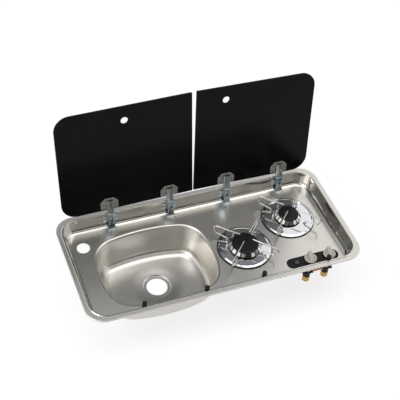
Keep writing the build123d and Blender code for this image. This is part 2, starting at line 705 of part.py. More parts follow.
# The pocket runs out past the arm's upper end, which is open.
arm_pocket = closed_section(
    (
        (CHANNEL_TOP + CHANNEL_WEB, 0),
        (CHANNEL_TOP + CHANNEL_WEB, CHANNEL_HEIGHT - CHANNEL_WEB),
        (CHANNEL_SHOULDER, CHANNEL_HEIGHT - CHANNEL_WEB),
        (CHANNEL_END, web_end - CHANNEL_WEB),
        (CHANNEL_END, web_end + CHANNEL_WEB),
        (PIVOT_UP - 2 * CHEEK_RADIUS, web_end + CHANNEL_WEB),
        (PIVOT_UP - 2 * CHEEK_RADIUS, 0),
    )
)
plate_face = PLATE_THICKNESS / 2
ear_outline = closed_section(
    (
        (PIVOT_Y - EAR_RADIUS, PIVOT_Z),
        (PIVOT_Y + EAR_RADIUS, PIVOT_Z),
        (wall_y(PLATE_TOP - EAR_RADIUS) - plate_face, PLATE_TOP - EAR_RADIUS),
        (wall_y(PLATE_BOTTOM) - plate_face, PLATE_BOTTOM),
        (PIVOT_Y - 2 * EAR_RADIUS, PLATE_BOTTOM),
        (PIVOT_Y - 1.4 * EAR_RADIUS, TONGUE_START_Z),
    )
)
tongue_outline = closed_section(
    (
        (PIVOT_Y - EAR_RADIUS, TONGUE_START_Z),
        (TONGUE_TOE + TONGUE_THICKNESS, DECK_TOP),
        (TONGUE_TOE, DECK_TOP),
        (PIVOT_Y - EAR_RADIUS - TONGUE_THICKNESS, TONGUE_START_Z),
    )
)

for number, x in enumerate(HINGE_X, start=1):
    with BuildPart() as hinge_bracket:
        plate_middle = (PLATE_TOP + PLATE_BOTTOM) / 2
        with BuildSketch(wall_plane(1, x, plate_middle)):
            RectangleRounded(PLATE_WIDTH, PLATE_TOP - PLATE_BOTTOM, PLATE_CORNER)
        extrude(amount=PLATE_THICKNESS)
        for ear_x in (x - EAR_OUTSIDE, x + EAR_OUTSIDE - EAR_THICKNESS):
            with BuildSketch(side_plane(ear_x)):
                add(ear_outline)
                with Locations((PIVOT_Y, PIVOT_Z)):
                    Circle(EAR_RADIUS)
            extrude(amount=EAR_THICKNESS)
        with BuildSketch(side_plane(x - TONGUE_WIDTH / 2)):
            add(tongue_outline)
        extrude(amount=TONGUE_WIDTH)
        with BuildSketch(side_plane(x - PLATE_WIDTH)):
            with Locations((PIVOT_Y, PIVOT_Z)):
                Circle(PIN_RADIUS + PIN_SEAT)
        extrude(amount=2 * PLATE_WIDTH, mode=Mode.SUBTRACT)
        own = [place for place in RIVET_PLACES if abs(place[0] - x) < PLATE_WIDTH]
        with Locations(*[wall_plane(1, rivet_x, z) for rivet_x, z in own]):
            Cylinder(RIVET_RADIUS, 4 * PLATE_THICKNESS, mode=Mode.SUBTRACT)
    save(hinge_bracket, f"hinge_bracket_{number}")

    with BuildPart() as hinge_arm:
        with BuildSketch(glass_side_plane(x - CHEEK_OUTSIDE)):
            add(arm_outline)
            with Locations((PIVOT_UP, PIVOT_OUT)):
                Circle(CHEEK_RADIUS)
        extrude(amount=2 * CHEEK_OUTSIDE)
        with BuildSketch(glass_side_plane(x - CHEEK_OUTSIDE + CHEEK)):
            add(arm_pocket)
        extrude(amount=2 * (CHEEK_OUTSIDE - CHEEK), mode=Mode.SUBTRACT)
        with BuildSketch(glass_side_plane(x - PLATE_WIDTH)):
            with Locations((PIVOT_UP, PIVOT_OUT)):
                Circle(PIN_RADIUS + PIN_FIT)
        extrude(amount=2 * PLATE_WIDTH, mode=Mode.SUBTRACT)
    save(hinge_arm, f"hinge_arm_{number}")

with BuildPart() as hinge_pins:
    pin_length = 2 * (CHEEK_OUTSIDE + PIN_HEAD / 2)
    for x in HINGE_X:
        with BuildSketch(side_plane(x - pin_length / 2)):
            with Locations((PIVOT_Y, PIVOT_Z)):
                Circle(PIN_RADIUS)
        extrude(amount=pin_length)
        for head_x in (x - pin_length / 2 - PIN_HEAD, x + pin_length / 2):
            with BuildSketch(side_plane(head_x)):
                with Locations((PIVOT_Y, PIVOT_Z)):
                    Circle(PIN_HEAD_RADIUS)
            extrude(amount=PIN_HEAD)
save(hinge_pins, "hinge_pins")

with BuildPart() as hinge_rivets:
    for x, z in RIVET_PLACES:
        seat = wall_plane(1, x, z)
        with BuildSketch(seat.offset(-SHEET)):
            Circle(RIVET_RADIUS)
        extrude(amount=SHEET + PLATE_THICKNESS)
        with BuildSketch(seat.offset(PLATE_THICKNESS)):
            Circle(RIVET_HEAD_RADIUS)
        extrude(amount=RIVET_HEAD, taper=35)
        with BuildSketch(seat.offset(-SHEET - RIVET_HEAD)):
            Circle(RIVET_HEAD_RADIUS)
        extrude(amount=RIVET_HEAD)
save(hinge_rivets, "hinge_rivets")

# ---------------------------------------------------------------- burners
for name, x, y, crown_radius, cap_radius, tube_angle in BURNERS:
    neck_radius = crown_radius - NECK_INSET
    neck_bore = neck_radius - NECK_WALL
    disc_hole = neck_radius + NECK_GAP
    probe_radius = crown_radius + PROBE_OUTSET
    screw_circle = crown_radius - SCREW_INSET
    axis = Axis((x, y, 0), (0, 0, 1))
    probes = (
        (THERMOCOUPLE_ANGLE, THERMOCOUPLE_RADIUS),
        (ELECTRODE_ANGLE, ELECTRODE_RADIUS),
    )
    probe_places = [
        (x + probe_radius * cos(radians(angle)), y + probe_radius * sin(radians(angle)), radius)
        for angle, radius in probes
    ]

    with BuildPart() as disc_gasket:
        with BuildSketch(Plane.XY.offset(DECK_TOP)):
            with Locations((x, y)):
                Circle(GASKET_OUTER)
                Circle(GASKET_INNER, mode=Mode.SUBTRACT)
        extrude(amount=GASKET_THICKNESS)
    save(disc_gasket, f"disc_gasket_{name}")

    with BuildPart() as drip_disc:
        disc_section = sheet_section(
            (
                (DISC_RADIUS, GASKET_TOP + SHEET),
                (DISC_RADIUS - DISC_RIM, GASKET_TOP + SHEET),
                (DISC_FLAT_RADIUS, DISC_TOP),
                (disc_hole, DISC_TOP),
            ),
            (DISC_EDGE_RADIUS, DISC_EDGE_RADIUS),
        )
        with BuildSketch(upright(x, y)):
            add(disc_section)
        revolve(axis=axis)
        with BuildSketch(Plane.XY.offset(CARRIER_TOP)):
            with Locations((x, y)):
                with PolarLocations(ARM_ROOT, ARM_COUNT, ARM_FIRST_ANGLE):
                    Circle(ARM_HOLE)
                with PolarLocations(screw_circle, SCREW_COUNT):
                    Circle(SCREW_RADIUS + SCREW_FIT)
            for probe_x, probe_y, radius in probe_places:
                with Locations((probe_x, probe_y)):
                    Circle(radius + PROBE_HOLE_GAP)
        extrude(amount=DISC_TOP - CARRIER_TOP, mode=Mode.SUBTRACT)
    save(drip_disc, f"drip_disc_{name}")

    with BuildPart() as burner_body:
        flange_radius = crown_radius - BODY_FLANGE_INSET
        flange_top = DISC_TOP - SHEET
        body_section = closed_section(
            (
                (0, BODY_BOTTOM),
                (neck_radius, BODY_BOTTOM),
                (neck_radius, CARRIER_BOTTOM),
                (CARRIER_RADIUS, CARRIER_BOTTOM),
                (CARRIER_RADIUS, CARRIER_TOP),
                (neck_radius, CARRIER_TOP),
                (neck_radius, flange_top - BODY_FLANGE),
                (flange_radius, flange_top - BODY_FLANGE),
                (flange_radius, flange_top),
                (neck_radius, flange_top),
                (neck_radius, NECK_TOP),
                (neck_bore, NECK_TOP),
                (neck_bore, BODY_BOTTOM + BODY_FLOOR),
                (0, BODY_BOTTOM + BODY_FLOOR),
            )
        )
        with BuildSketch(upright(x, y)):
            add(body_section)
        revolve(axis=axis)
        out_x = cos(radians(tube_angle))
        out_y = sin(radians(tube_angle))
        tube_start = neck_bore + NECK_WALL / 2
        with BuildSketch(facing(x + tube_start * out_x, y + tube_start * out_y, TUBE_Z, tube_angle)):
            Circle(TUBE_RADIUS)
        extrude(amount=TUBE_END - tube_start)
        bore_start = neck_bore - 1
        with BuildSketch(facing(x + bore_start * out_x, y + bore_start * out_y, TUBE_Z, tube_angle)):
            Circle(TUBE_BORE)
        extrude(amount=TUBE_END - bore_start, mode=Mode.SUBTRACT)
        with Locations(
            Location((x + TUBE_WINDOW_AT * out_x, y + TUBE_WINDOW_AT * out_y, TUBE_Z), (0, 0, tube_angle))
        ):
            Box(*TUBE_WINDOW, mode=Mode.SUBTRACT)
        with BuildSketch(Plane.XY.offset(BODY_BOTTOM)):
            with Locations((x, y)):
                Circle(BASE_SCREW_RADIUS)
                with PolarLocations(ARM_ROOT, ARM_COUNT, ARM_FIRST_ANGLE):
                    Circle(ARM_WIRE + ARM_PEG_FIT)
                with PolarLocations(screw_circle, SCREW_COUNT):
                    Circle(SCREW_RADIUS)
            for probe_x, probe_y, radius in probe_places:
                with Locations((probe_x, probe_y)):
                    Circle(radius + PROBE_FIT)
        extrude(amount=flange_top - BODY_BOTTOM, mode=Mode.SUBTRACT)
    save(burner_body, f"burner_body_{name}")

    with BuildPart() as burner_strap:
        strap_section = sheet_section(
            (
                (-STRAP_FOOT, DECK_BOTTOM),
                (-STRAP_LEG, DECK_BOTTOM),
                (-STRAP_LEG, BODY_BOTTOM),
                (STRAP_LEG, BODY_BOTTOM),
                (STRAP_LEG, DECK_BOTTOM),
                (STRAP_FOOT, DECK_BOTTOM),
            ),
            (STRAP_BEND,) * 4,
            STRAP_SHEET,
            Side.RIGHT,
        )
        with BuildSketch(upright(x, y, tube_angle + 90)):
            add(strap_section)
        extrude(amount=STRAP_WIDTH / 2, both=True)
        with BuildSketch(Plane.XY.offset(BODY_BOTTOM)):
            with Locations((x, y)):
                Circle(BASE_SCREW_RADIUS + 2 * SCREW_FIT)
        extrude(amount=-STRAP_SHEET, mode=Mode.SUBTRACT)
    save(burner_strap, f"burner_strap_{name}")

    with BuildPart() as burner_screws:
        shank_bottom = DISC_TOP - SHEET - BODY_FLANGE
        with BuildSketch(Plane.XY.offset(shank_bottom)):
            with Locations((x, y)):
                with PolarLocations(screw_circle, SCREW_COUNT):
                    Circle(SCREW_RADIUS)
        extrude(amount=DISC_TOP - shank_bottom)
        with BuildSketch(Plane.XY.offset(DISC_TOP)):
            with Locations((x, y)):
                with PolarLocations(screw_circle, SCREW_COUNT):
                    Circle(SCREW_HEAD_RADIUS)
        extrude(amount=SCREW_HEAD)
        with BuildSketch(Plane.XY.offset(BODY_BOTTOM - STRAP_SHEET)):
            with Locations((x, y)):
                Circle(BASE_SCREW_RADIUS)
        extrude(amount=STRAP_SHEET + BODY_FLOOR)
        with BuildSketch(Plane.XY.offset(BODY_BOTTOM - STRAP_SHEET)):
            with Locations((x, y)):
                Circle(BASE_SCREW_HEAD_RADIUS)
        extrude(amount=-BASE_SCREW_HEAD)
    save(burner_screws, f"burner_screws_{name}")

    with BuildPart() as burner_crown:
        spigot_outer = neck_bore - LIFT_GAP
        spigot_inner = spigot_outer - CROWN_SPIGOT_WALL
        crown_section = closed_section(
            (
                (spigot_inner, CROWN_BOTTOM - CROWN_SPIGOT),
                (spigot_outer, CROWN_BOTTOM - CROWN_SPIGOT),
                (spigot_outer, CROWN_BOTTOM),
                (crown_radius, CROWN_BOTTOM),
                (crown_radius, CROWN_BOTTOM + CROWN_SKIRT),
                (cap_radius + CROWN_TOP_MARGIN, CROWN_TOP),
                (spigot_inner, CROWN_TOP),
            )
        )
        with BuildSketch(upright(x, y)):
            add(crown_section)
        revolve(axis=axis)
        with BuildSketch(Plane.XY.offset(CROWN_TOP)):
            with Locations((x, y)):
                with PolarLocations(cap_radius, PORT_COUNT):
                    Rectangle(PORT_LENGTH, PORT_WIDTH)
        extrude(amount=-PORT_DEPTH, mode=Mode.SUBTRACT)
    save(burner_crown, f"burner_crown_{name}")

    with BuildPart() as burner_cap:
        cap_section = closed_section(
            (
                (0, CAP_BOTTOM - CAP_SPIGOT),
                (spigot_inner - LIFT_GAP, CAP_BOTTOM - CAP_SPIGOT),
                (spigot_inner - LIFT_GAP, CAP_BOTTOM),
                (cap_radius, CAP_BOTTOM),
                (cap_radius, CAP_BOTTOM + CAP_EDGE),
                (cap_radius - CAP_BEVEL, CAP_BOTTOM + CAP_THICKNESS),
                (0, CAP_BOTTOM + CAP_THICKNESS),
            )
        )
        with BuildSketch(upright(x, y)):
            add(cap_section)
        revolve(axis=axis)
    save(burner_cap, f"burner_cap_{name}")

    with BuildPart() as pan_support:
        for index in range(ARM_COUNT):
            stand = upright(x, y, ARM_FIRST_ANGLE + index * 360 / ARM_COUNT)
            with BuildLine(stand) as arm_line:
                FilletPolyline(*ARM_PATH, radius=list(ARM_BENDS))
            with BuildSketch(Plane(origin=arm_line.line @ 0, z_dir=arm_line.line % 0)):
                Circle(ARM_WIRE)
            sweep(path=arm_line.line)
    save(pan_support, f"pan_support_{name}")

    with BuildPart() as thermocouple:
        with BuildSketch(Plane.XY.offset(THERMOCOUPLE_BOTTOM)):
            with Locations(probe_places[0][:2]):
                Circle(THERMOCOUPLE_RADIUS)
        extrude(amount=THERMOCOUPLE_TOP - THERMOCOUPLE_BOTTOM)
        with BuildSketch(Plane.XY.offset(CARRIER_TOP)):
            with Locations(probe_places[0][:2]):
                Circle(THERMOCOUPLE_RADIUS + PROBE_COLLAR)
        extrude(amount=PROBE_COLLAR_HEIGHT)
        fillet(thermocouple.faces().sort_by(Axis.Z)[-1].edges(), THERMOCOUPLE_RADIUS / 2)
    save(thermocouple, f"thermocouple_{name}")

    with BuildPart() as electrode:
        with BuildSketch(Plane.XY.offset(ELECTRODE_BOTTOM)):
            with Locations(probe_places[1][:2]):
                Circle(ELECTRODE_RADIUS)
        extrude(amount=ELECTRODE_TOP - ELECTRODE_BOTTOM)
        with BuildSketch(Plane.XY.offset(CARRIER_TOP)):
            with Locations(probe_places[1][:2]):
                Circle(ELECTRODE_RADIUS + PROBE_COLLAR)
        extrude(amount=PROBE_COLLAR_HEIGHT)
        with BuildSketch(Plane.XY.offset(ELECTRODE_TOP)):
            with Locations(probe_places[1][:2]):
                Circle(ELECTRODE_PIN_RADIUS)
        extrude(amount=ELECTRODE_PIN)
    save(electrode, f"electrode_{name}")

    with BuildPart() as injector:
        seat_x = x + TUBE_END * out_x
        seat_y = y + TUBE_END * out_y
        mouth = facing(seat_x, seat_y, TUBE_Z, tube_angle)
        with BuildSketch(mouth):
            RegularPolygon(INJECTOR_FLATS / 2, 6, major_radius=False)
        extrude(amount=INJECTOR_HEAD)
        with BuildSketch(mouth):
            Circle(TUBE_BORE - INJECTOR_FIT)
        extrude(amount=-INJECTOR_SHANK)
        with BuildSketch(mouth.offset(INJECTOR_HEAD)):
            Circle(PIPE_RADIUS + PIPE_FIT)
        extrude(amount=-PIPE_ENTRY, mode=Mode.SUBTRACT)
        with BuildSketch(mouth.offset(INJECTOR_HEAD)):
            Circle(INJECTOR_JET)
        extrude(amount=-INJECTOR_HEAD - INJECTOR_SHANK, mode=Mode.SUBTRACT)
    save(injector, f"injector_{name}")

# ---------------------------------------------------------------- feed pipes
PIPE_START = TUBE_END + INJECTOR_HEAD - PIPE_ENTRY
PIPE_FINISH_Y = CONTROL_Y + VALVE_BLOCK[1] / 2 + VALVE_BOSS - PIPE_ENTRY
for (name, x, y, _, _, tube_angle), valve_x in zip(BURNERS, VALVE_X):
    out_x = cos(radians(tube_angle))
    out_y = sin(radians(tube_angle))
    start = (x + PIPE_START * out_x, y + PIPE_START * out_y)
    span = abs(valve_x - start[0]) * abs(out_x) + abs(PIPE_FINISH_Y - start[1]) * abs(out_y)
    first = PIPE_STRAIGHTS[0] * span
    last = PIPE_STRAIGHTS[1] * (start[1] - PIPE_FINISH_Y)
    route = (
        start,
        (start[0] + first * out_x, start[1] + first * out_y),
        (valve_x, PIPE_FINISH_Y + last),
        (valve_x, PIPE_FINISH_Y),
    )
    with BuildPart() as feed_pipe:
        with BuildLine(Plane.XY.offset(TUBE_Z)) as pipe_line:
            FilletPolyline(*route, radius=[PIPE_BEND * first, PIPE_BEND * last])
        with BuildSketch(Plane(origin=pipe_line.line @ 0, z_dir=pipe_line.line % 0)):
            Circle(PIPE_RADIUS)
            Circle(PIPE_BORE, mode=Mode.SUBTRACT)
        sweep(path=pipe_line.line)
    save(feed_pipe, f"feed_pipe_{name}")

# ---------------------------------------------------------------- valves and knobs
for name, x in zip(("front", "rear"), VALVE_X):
    block_x, block_y, block_z = VALVE_BLOCK
    block_top = VALVE_TOP - VALVE_COLLAR
    boss_face = CONTROL_Y + block_y / 2 + VALVE_BOSS

    with BuildPart() as valve_body:
        with BuildSketch(Plane.XY.offset(block_top)):
            with Locations((x, CONTROL_Y)):
                RectangleRounded(block_x, block_y, 3)
        extrude(amount=-block_z)
        with BuildSketch(Plane.XY.offset(block_top)):
            with Locations((x, CONTROL_Y)):
                Circle(VALVE_COLLAR_RADIUS)
        extrude(amount=VALVE_COLLAR)
        with BuildSketch(Plane.XY.offset(VALVE_BOTTOM)):
            with Locations((x, CONTROL_Y)):
                Circle(VALVE_BARREL_RADIUS)
        extrude(amount=block_top - block_z - VALVE_BOTTOM)
        with BuildSketch(facing(x, CONTROL_Y, TUBE_Z, 90)):
            Circle(VALVE_BOSS_RADIUS)
        extrude(amount=boss_face - CONTROL_Y)
        with BuildSketch(facing(x, boss_face, TUBE_Z, 90)):
            Circle(PIPE_RADIUS + PIPE_FIT)
        extrude(amount=-PIPE_ENTRY, mode=Mode.SUBTRACT)
        with BuildSketch(facing(x, boss_face, TUBE_Z, 90)):
            Circle(VALVE_PASSAGE)
        extrude(amount=CONTROL_Y - boss_face, mode=Mode.SUBTRACT)
        with BuildSketch(Plane.XY.offset(CONE_TOP + CONE_END_GAP)):
            with Locations((x, CONTROL_Y)):
                Circle(CONE_RADIUS + CONE_FIT)
        extrude(amount=-CONE_LENGTH - 2 * CONE_END_GAP, mode=Mode.SUBTRACT)
        with BuildSketch(Plane.XY.offset(VALVE_TOP)):
            with Locations((x, CONTROL_Y)):
                Circle(SPINDLE_RADIUS + CONE_FIT)
        extrude(amount=CONE_TOP - VALVE_TOP, mode=Mode.SUBTRACT)
        with BuildSketch(Plane.XY.offset(VALVE_BOTTOM)):
            with Locations((x, CONTROL_Y)):
                Circle(VALVE_PASSAGE)
        extrude(amount=CONE_TOP - CONE_LENGTH - VALVE_BOTTOM, mode=Mode.SUBTRACT)
        with BuildSketch(Plane.XY.offset(VALVE_BOTTOM)):
            with Locations((x, CONTROL_Y)):
                Circle(VALVE_BORE)
        extrude(amount=VALVE_BORE_DEPTH, mode=Mode.SUBTRACT)
    save(valve_body, f"valve_body_{name}")

    with BuildPart() as valve_cone:
        with BuildSketch(Plane.XY.offset(CONE_TOP - CONE_LENGTH)):
            with Locations((x, CONTROL_Y)):
                Circle(CONE_RADIUS)
        extrude(amount=CONE_LENGTH)
        with BuildSketch(Plane.XY.offset(CONE_TOP)):
            with Locations((x, CONTROL_Y)):
                Circle(SPINDLE_RADIUS)
        extrude(amount=SPINDLE_TOP - CONE_TOP)
        with BuildSketch(facing(x, CONTROL_Y, TUBE_Z, 90)):
            Circle(VALVE_PASSAGE / 2)
        extrude(amount=2 * CONE_RADIUS, mode=Mode.SUBTRACT)
        with BuildSketch(Plane.XY.offset(CONE_TOP - CONE_LENGTH)):
            with Locations((x, CONTROL_Y)):
                Circle(VALVE_PASSAGE / 2)
        extrude(amount=TUBE_Z - CONE_TOP + CONE_LENGTH, mode=Mode.SUBTRACT)
    save(valve_cone, f"valve_cone_{name}")

    with BuildPart() as knob:
        with BuildSketch(Plane.XY.offset(KNOB_BOTTOM)):
            with Locations((x, CONTROL_Y)):
                Circle(KNOB_RADIUS)
        extrude(amount=KNOB_BASE)
        fillet(knob.faces().sort_by(Axis.Z)[-1].edges(), KNOB_EDGE)
        fin_bottom = KNOB_BOTTOM + KNOB_BASE
        with BuildSketch(Plane.XY.offset(fin_bottom)):
            with Locations((x, CONTROL_Y)):
                RectangleRounded(*KNOB_FIN, KNOB_FIN[0] / 3)
        extrude(amount=KNOB_TOP - fin_bottom, taper=KNOB_FIN_TAPER)
        slope_cut = closed_section(
            (
                (CONTROL_Y + KNOB_FIN[1] / 3, KNOB_TOP),
                (CONTROL_Y - KNOB_FIN[1], KNOB_FIN_FRONT - KNOB_EDGE),
                (CONTROL_Y - KNOB_FIN[1], KNOB_TOP + KNOB_EDGE),
                (CONTROL_Y + KNOB_FIN[1] / 3, KNOB_TOP + KNOB_EDGE),
            )
        )
        with BuildSketch(side_plane(x)):
            add(slope_cut)
        extrude(amount=KNOB_RADIUS, both=True, mode=Mode.SUBTRACT)
        with BuildSketch(Plane.XY.offset(KNOB_BOTTOM)):
            with Locations((x, CONTROL_Y)):
                Circle(SPINDLE_RADIUS + KNOB_FIT)
        bore_top = SPINDLE_TOP + KNOB_TRAVEL + KNOB_BORE_SPARE
        extrude(amount=bore_top - KNOB_BOTTOM, mode=Mode.SUBTRACT)
    save(knob, f"knob_{name}")

    with BuildPart() as inlet_adapter:
        with BuildSketch(Plane.XY.offset(ADAPTER_BOTTOM)):
            with Locations((x, CONTROL_Y)):
                Circle(ADAPTER_RADIUS)
        extrude(amount=ADAPTER_LENGTH)
        with BuildSketch(Plane.XY.offset(BRACKET_BOTTOM)):
            with Locations((x, CONTROL_Y)):
                Circle(VALVE_BORE - ADAPTER_STUD_FIT)
        extrude(amount=BRACKET_SHEET + VALVE_BORE_DEPTH - CONE_END_GAP)
        with BuildSketch(Plane.XY.offset(ADAPTER_BOTTOM)):
            with Locations((x, CONTROL_Y)):
                Circle(ADAPTER_STEM_RADIUS)
        extrude(amount=-ADAPTER_STEM)
        with BuildSketch(Plane.XY.offset(ADAPTER_BOTTOM - ADAPTER_STEM)):
            with Locations((x, CONTROL_Y)):
                Circle(VALVE_PASSAGE)
        extrude(amount=2 * ADAPTER_LENGTH + ADAPTER_STEM, mode=Mode.SUBTRACT)
        rail_port = (0.0 if name == "front" else 180.0, PIPE_RADIUS)
        inlet_port = (90.0, INLET_SPIGOT_RADIUS)
        for port, port_radius in (rail_port, inlet_port) if name == "front" else (rail_port,):
            port_x = x + ADAPTER_RADIUS * cos(radians(port))
            port_y = CONTROL_Y + ADAPTER_RADIUS * sin(radians(port))
            with BuildSketch(facing(port_x, port_y, RAIL_Z, port)):
                Circle(port_radius + PIPE_FIT)
            extrude(amount=-PIPE_ENTRY, mode=Mode.SUBTRACT)
            with BuildSketch(facing(port_x, port_y, RAIL_Z, port)):
                Circle(ADAPTER_PORT)
            extrude(amount=-ADAPTER_RADIUS, mode=Mode.SUBTRACT)
    save(inlet_adapter, f"inlet_adapter_{name}")

    with BuildPart() as union_nut:
        with BuildSketch(Plane.XY.offset(ADAPTER_BOTTOM)):
            with Locations((x, CONTROL_Y)):
                RegularPolygon(NUT_FLATS / 2, 6, major_radius=False)
        extrude(amount=-NUT_LENGTH)
        chamfer(union_nut.faces().sort_by(Axis.Z)[0].edges(), NUT_CHAMFER)
        with BuildSketch(Plane.XY.offset(ADAPTER_BOTTOM)):
            with Locations((x, CONTROL_Y)):
                Circle(ADAPTER_STEM_RADIUS + NUT_FIT)
        extrude(amount=-ADAPTER_STEM - NUT_FIT, mode=Mode.SUBTRACT)
    save(union_nut, f"union_nut_{name}")

# ---------------------------------------------------------------- gas rail, bracket and panel
with BuildPart() as gas_rail:
    rail_start = VALVE_X[0] + ADAPTER_RADIUS - PIPE_ENTRY
    rail_end = VALVE_X[1] - ADAPTER_RADIUS + PIPE_ENTRY
    spigot_start = CONTROL_Y + ADAPTER_RADIUS - PIPE_ENTRY
    inlet_start = CONTROL_Y + ADAPTER_RADIUS + INLET_SPIGOT_OUTSIDE
    with BuildSketch(facing(rail_start, CONTROL_Y, RAIL_Z, 0)):
        Circle(PIPE_RADIUS)
        Circle(PIPE_BORE, mode=Mode.SUBTRACT)
    extrude(amount=rail_end - rail_start)
    with BuildSketch(facing(VALVE_X[0], spigot_start, RAIL_Z, 90)):
        Circle(INLET_SPIGOT_RADIUS)
        Circle(PIPE_BORE, mode=Mode.SUBTRACT)
    extrude(amount=inlet_start - spigot_start)
    with BuildSketch(facing(VALVE_X[0], inlet_start, RAIL_Z, 90)):
        Circle(PIPE_RADIUS)
        Circle(PIPE_BORE, mode=Mode.SUBTRACT)
    extrude(amount=INLET_END_Y - inlet_start)
save(gas_rail, "gas_rail")

with BuildPart() as valve_bracket:
    with BuildSketch(Plane.XY.offset(BRACKET_BOTTOM)):
        with Locations(((BRACKET_X[0] + BRACKET_X[1]) / 2, (BRACKET_Y[0] + BRACKET_Y[1]) / 2)):
            Rectangle(BRACKET_X[1] - BRACKET_X[0], BRACKET_Y[1] - BRACKET_Y[0])
        with Locations(((VALVE_X[0] + VALVE_X[1]) / 2, (BRACKET_Y[0] + BRACKET_NOTCH_END) / 2)):
            Rectangle(BRACKET_NOTCH, BRACKET_NOTCH_END - BRACKET_Y[0], mode=Mode.SUBTRACT)
        with Locations(*[(x, CONTROL_Y) for x in VALVE_X]):
            Circle(VALVE_BORE + PIPE_FIT, mode=Mode.SUBTRACT)
    extrude(amount=BRACKET_SHEET)
    for leg_start, leg_end in BRACKET_LEGS:
        with BuildSketch(Plane.XY.offset(BRACKET_BOTTOM)):
            with Locations(((leg_start + leg_end) / 2, BRACKET_Y[1] - BRACKET_SHEET / 2)):
                Rectangle(leg_end - leg_start, BRACKET_SHEET)
        extrude(amount=DECK_BOTTOM - BRACKET_BOTTOM)
        with BuildSketch(Plane.XY.offset(DECK_BOTTOM - BRACKET_SHEET)):
            with Locations(((leg_start + leg_end) / 2, BRACKET_Y[1] + BRACKET_FOOT / 2 - BRACKET_SHEET)):
                Rectangle(leg_end - leg_start, BRACKET_FOOT)
        extrude(amount=BRACKET_SHEET)
save(valve_bracket, "valve_bracket")

with BuildPart() as control_panel:
    with BuildSketch(Plane.XY.offset(PANEL_BOTTOM)):
        add(panel_outline(PANEL_FLANGE_REACH))
    extrude(amount=PANEL_FLANGE)
    with BuildSketch(Plane.XY.offset(PANEL_BOTTOM)):
        add(panel_outline(-PANEL_GAP))
    extrude(amount=PANEL_TOP - PANEL_BOTTOM)
    with BuildSketch(Plane.XY.offset(PANEL_BOTTOM)):
        with Locations(*[(x, CONTROL_Y) for x in VALVE_X]):
            Circle(SPINDLE_HOLE_RADIUS)
        with Locations((IGNITER_X, CONTROL_Y)):
            Circle(BUTTON_RADIUS + BUTTON_GAP)
    extrude(amount=PANEL_TOP - PANEL_BOTTOM, mode=Mode.SUBTRACT)
save(control_panel, "control_panel")

# ---------------------------------------------------------------- igniter
button_bottom = BUTTON_TOP - BUTTON_CAP
stem_bottom = button_bottom - BUTTON_STEM
recess_bottom = button_bottom - BUTTON_TRAVEL - BUTTON_GAP
stem_bore_bottom = stem_bottom - BUTTON_TRAVEL - BUTTON_GAP
# radius, lower and upper end of each round step of the igniter's body, then of its bores
igniter_steps = (
    (IGNITER_RADIUS, IGNITER_BOTTOM, PANEL_BOTTOM),
    (IGNITER_COLLAR_RADIUS, PANEL_BOTTOM - IGNITER_COLLAR, PANEL_BOTTOM),
)
igniter_bores = (
    (BUTTON_RADIUS + BUTTON_GAP, recess_bottom, PANEL_BOTTOM),
    (BUTTON_STEM_RADIUS + BUTTON_FIT, stem_bore_bottom, PANEL_BOTTOM),
)

with BuildPart() as igniter_body:
    for steps, mode in ((igniter_steps, Mode.ADD), (igniter_bores, Mode.SUBTRACT)):
        for radius, low, high in steps:
            with BuildSketch(Plane.XY.offset(low)):
                with Locations((IGNITER_X, CONTROL_Y)):
                    Circle(radius)
            extrude(amount=high - low, mode=mode)
save(igniter_body, "igniter_body")

with BuildPart() as igniter_button:
    for radius, low, high in (
        (BUTTON_RADIUS, button_bottom, BUTTON_TOP),
        (BUTTON_STEM_RADIUS, stem_bottom, button_bottom),
    ):
        with BuildSketch(Plane.XY.offset(low)):
            with Locations((IGNITER_X, CONTROL_Y)):
                Circle(radius)
        extrude(amount=high - low)
    fillet(igniter_button.faces().sort_by(Axis.Z)[-1].edges(), BUTTON_EDGE)
save(igniter_button, "igniter_button")
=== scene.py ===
# %% [markdown]
# # A sink and gas hob unit for a camper van
#
# The object is a pressed steel unit that drops into a worktop. It has an oval bowl on the left, two
# gas burners on the right and a black glass lid in two halves, which stand open at the back.
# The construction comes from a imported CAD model, the frame. This script gives it its looks: smooth
# meshes for the shapes that the eye reads first, and a procedural material for every piece.
# All positions below are in millimetres and are turned into metres when a mesh is made.

import json
import math

import bmesh
import bpy
import numpy as np
from mathutils import Matrix, Vector
from mathutils.geometry import tessellate_polygon


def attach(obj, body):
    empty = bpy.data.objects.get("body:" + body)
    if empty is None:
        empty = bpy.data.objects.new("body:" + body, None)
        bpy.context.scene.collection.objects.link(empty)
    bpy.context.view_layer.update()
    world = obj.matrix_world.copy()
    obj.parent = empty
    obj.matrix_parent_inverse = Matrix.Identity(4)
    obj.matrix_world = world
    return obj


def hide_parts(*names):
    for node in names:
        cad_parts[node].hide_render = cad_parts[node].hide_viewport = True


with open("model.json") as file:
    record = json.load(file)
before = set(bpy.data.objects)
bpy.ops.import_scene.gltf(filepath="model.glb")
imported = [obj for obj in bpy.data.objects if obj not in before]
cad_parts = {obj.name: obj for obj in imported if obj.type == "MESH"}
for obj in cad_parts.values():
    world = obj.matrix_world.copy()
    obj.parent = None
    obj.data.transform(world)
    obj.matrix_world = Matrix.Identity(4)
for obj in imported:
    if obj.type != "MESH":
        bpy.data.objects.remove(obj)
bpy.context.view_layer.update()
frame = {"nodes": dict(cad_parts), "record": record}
nodes = frame["nodes"]
MM = 0.001
ROUND_STEPS = 96

# %% [markdown]
# ## The camera
#
# A photographer stood in front of the unit, a little to its left, and looked down at it with a
# long lens. The place of the camera was fitted to the outline of the flange, the lids and the round
# holes, so the numbers below are a position, a turn and a lens, and nothing else. A small shift
# moves the picture on the sensor, as it does on a view camera.

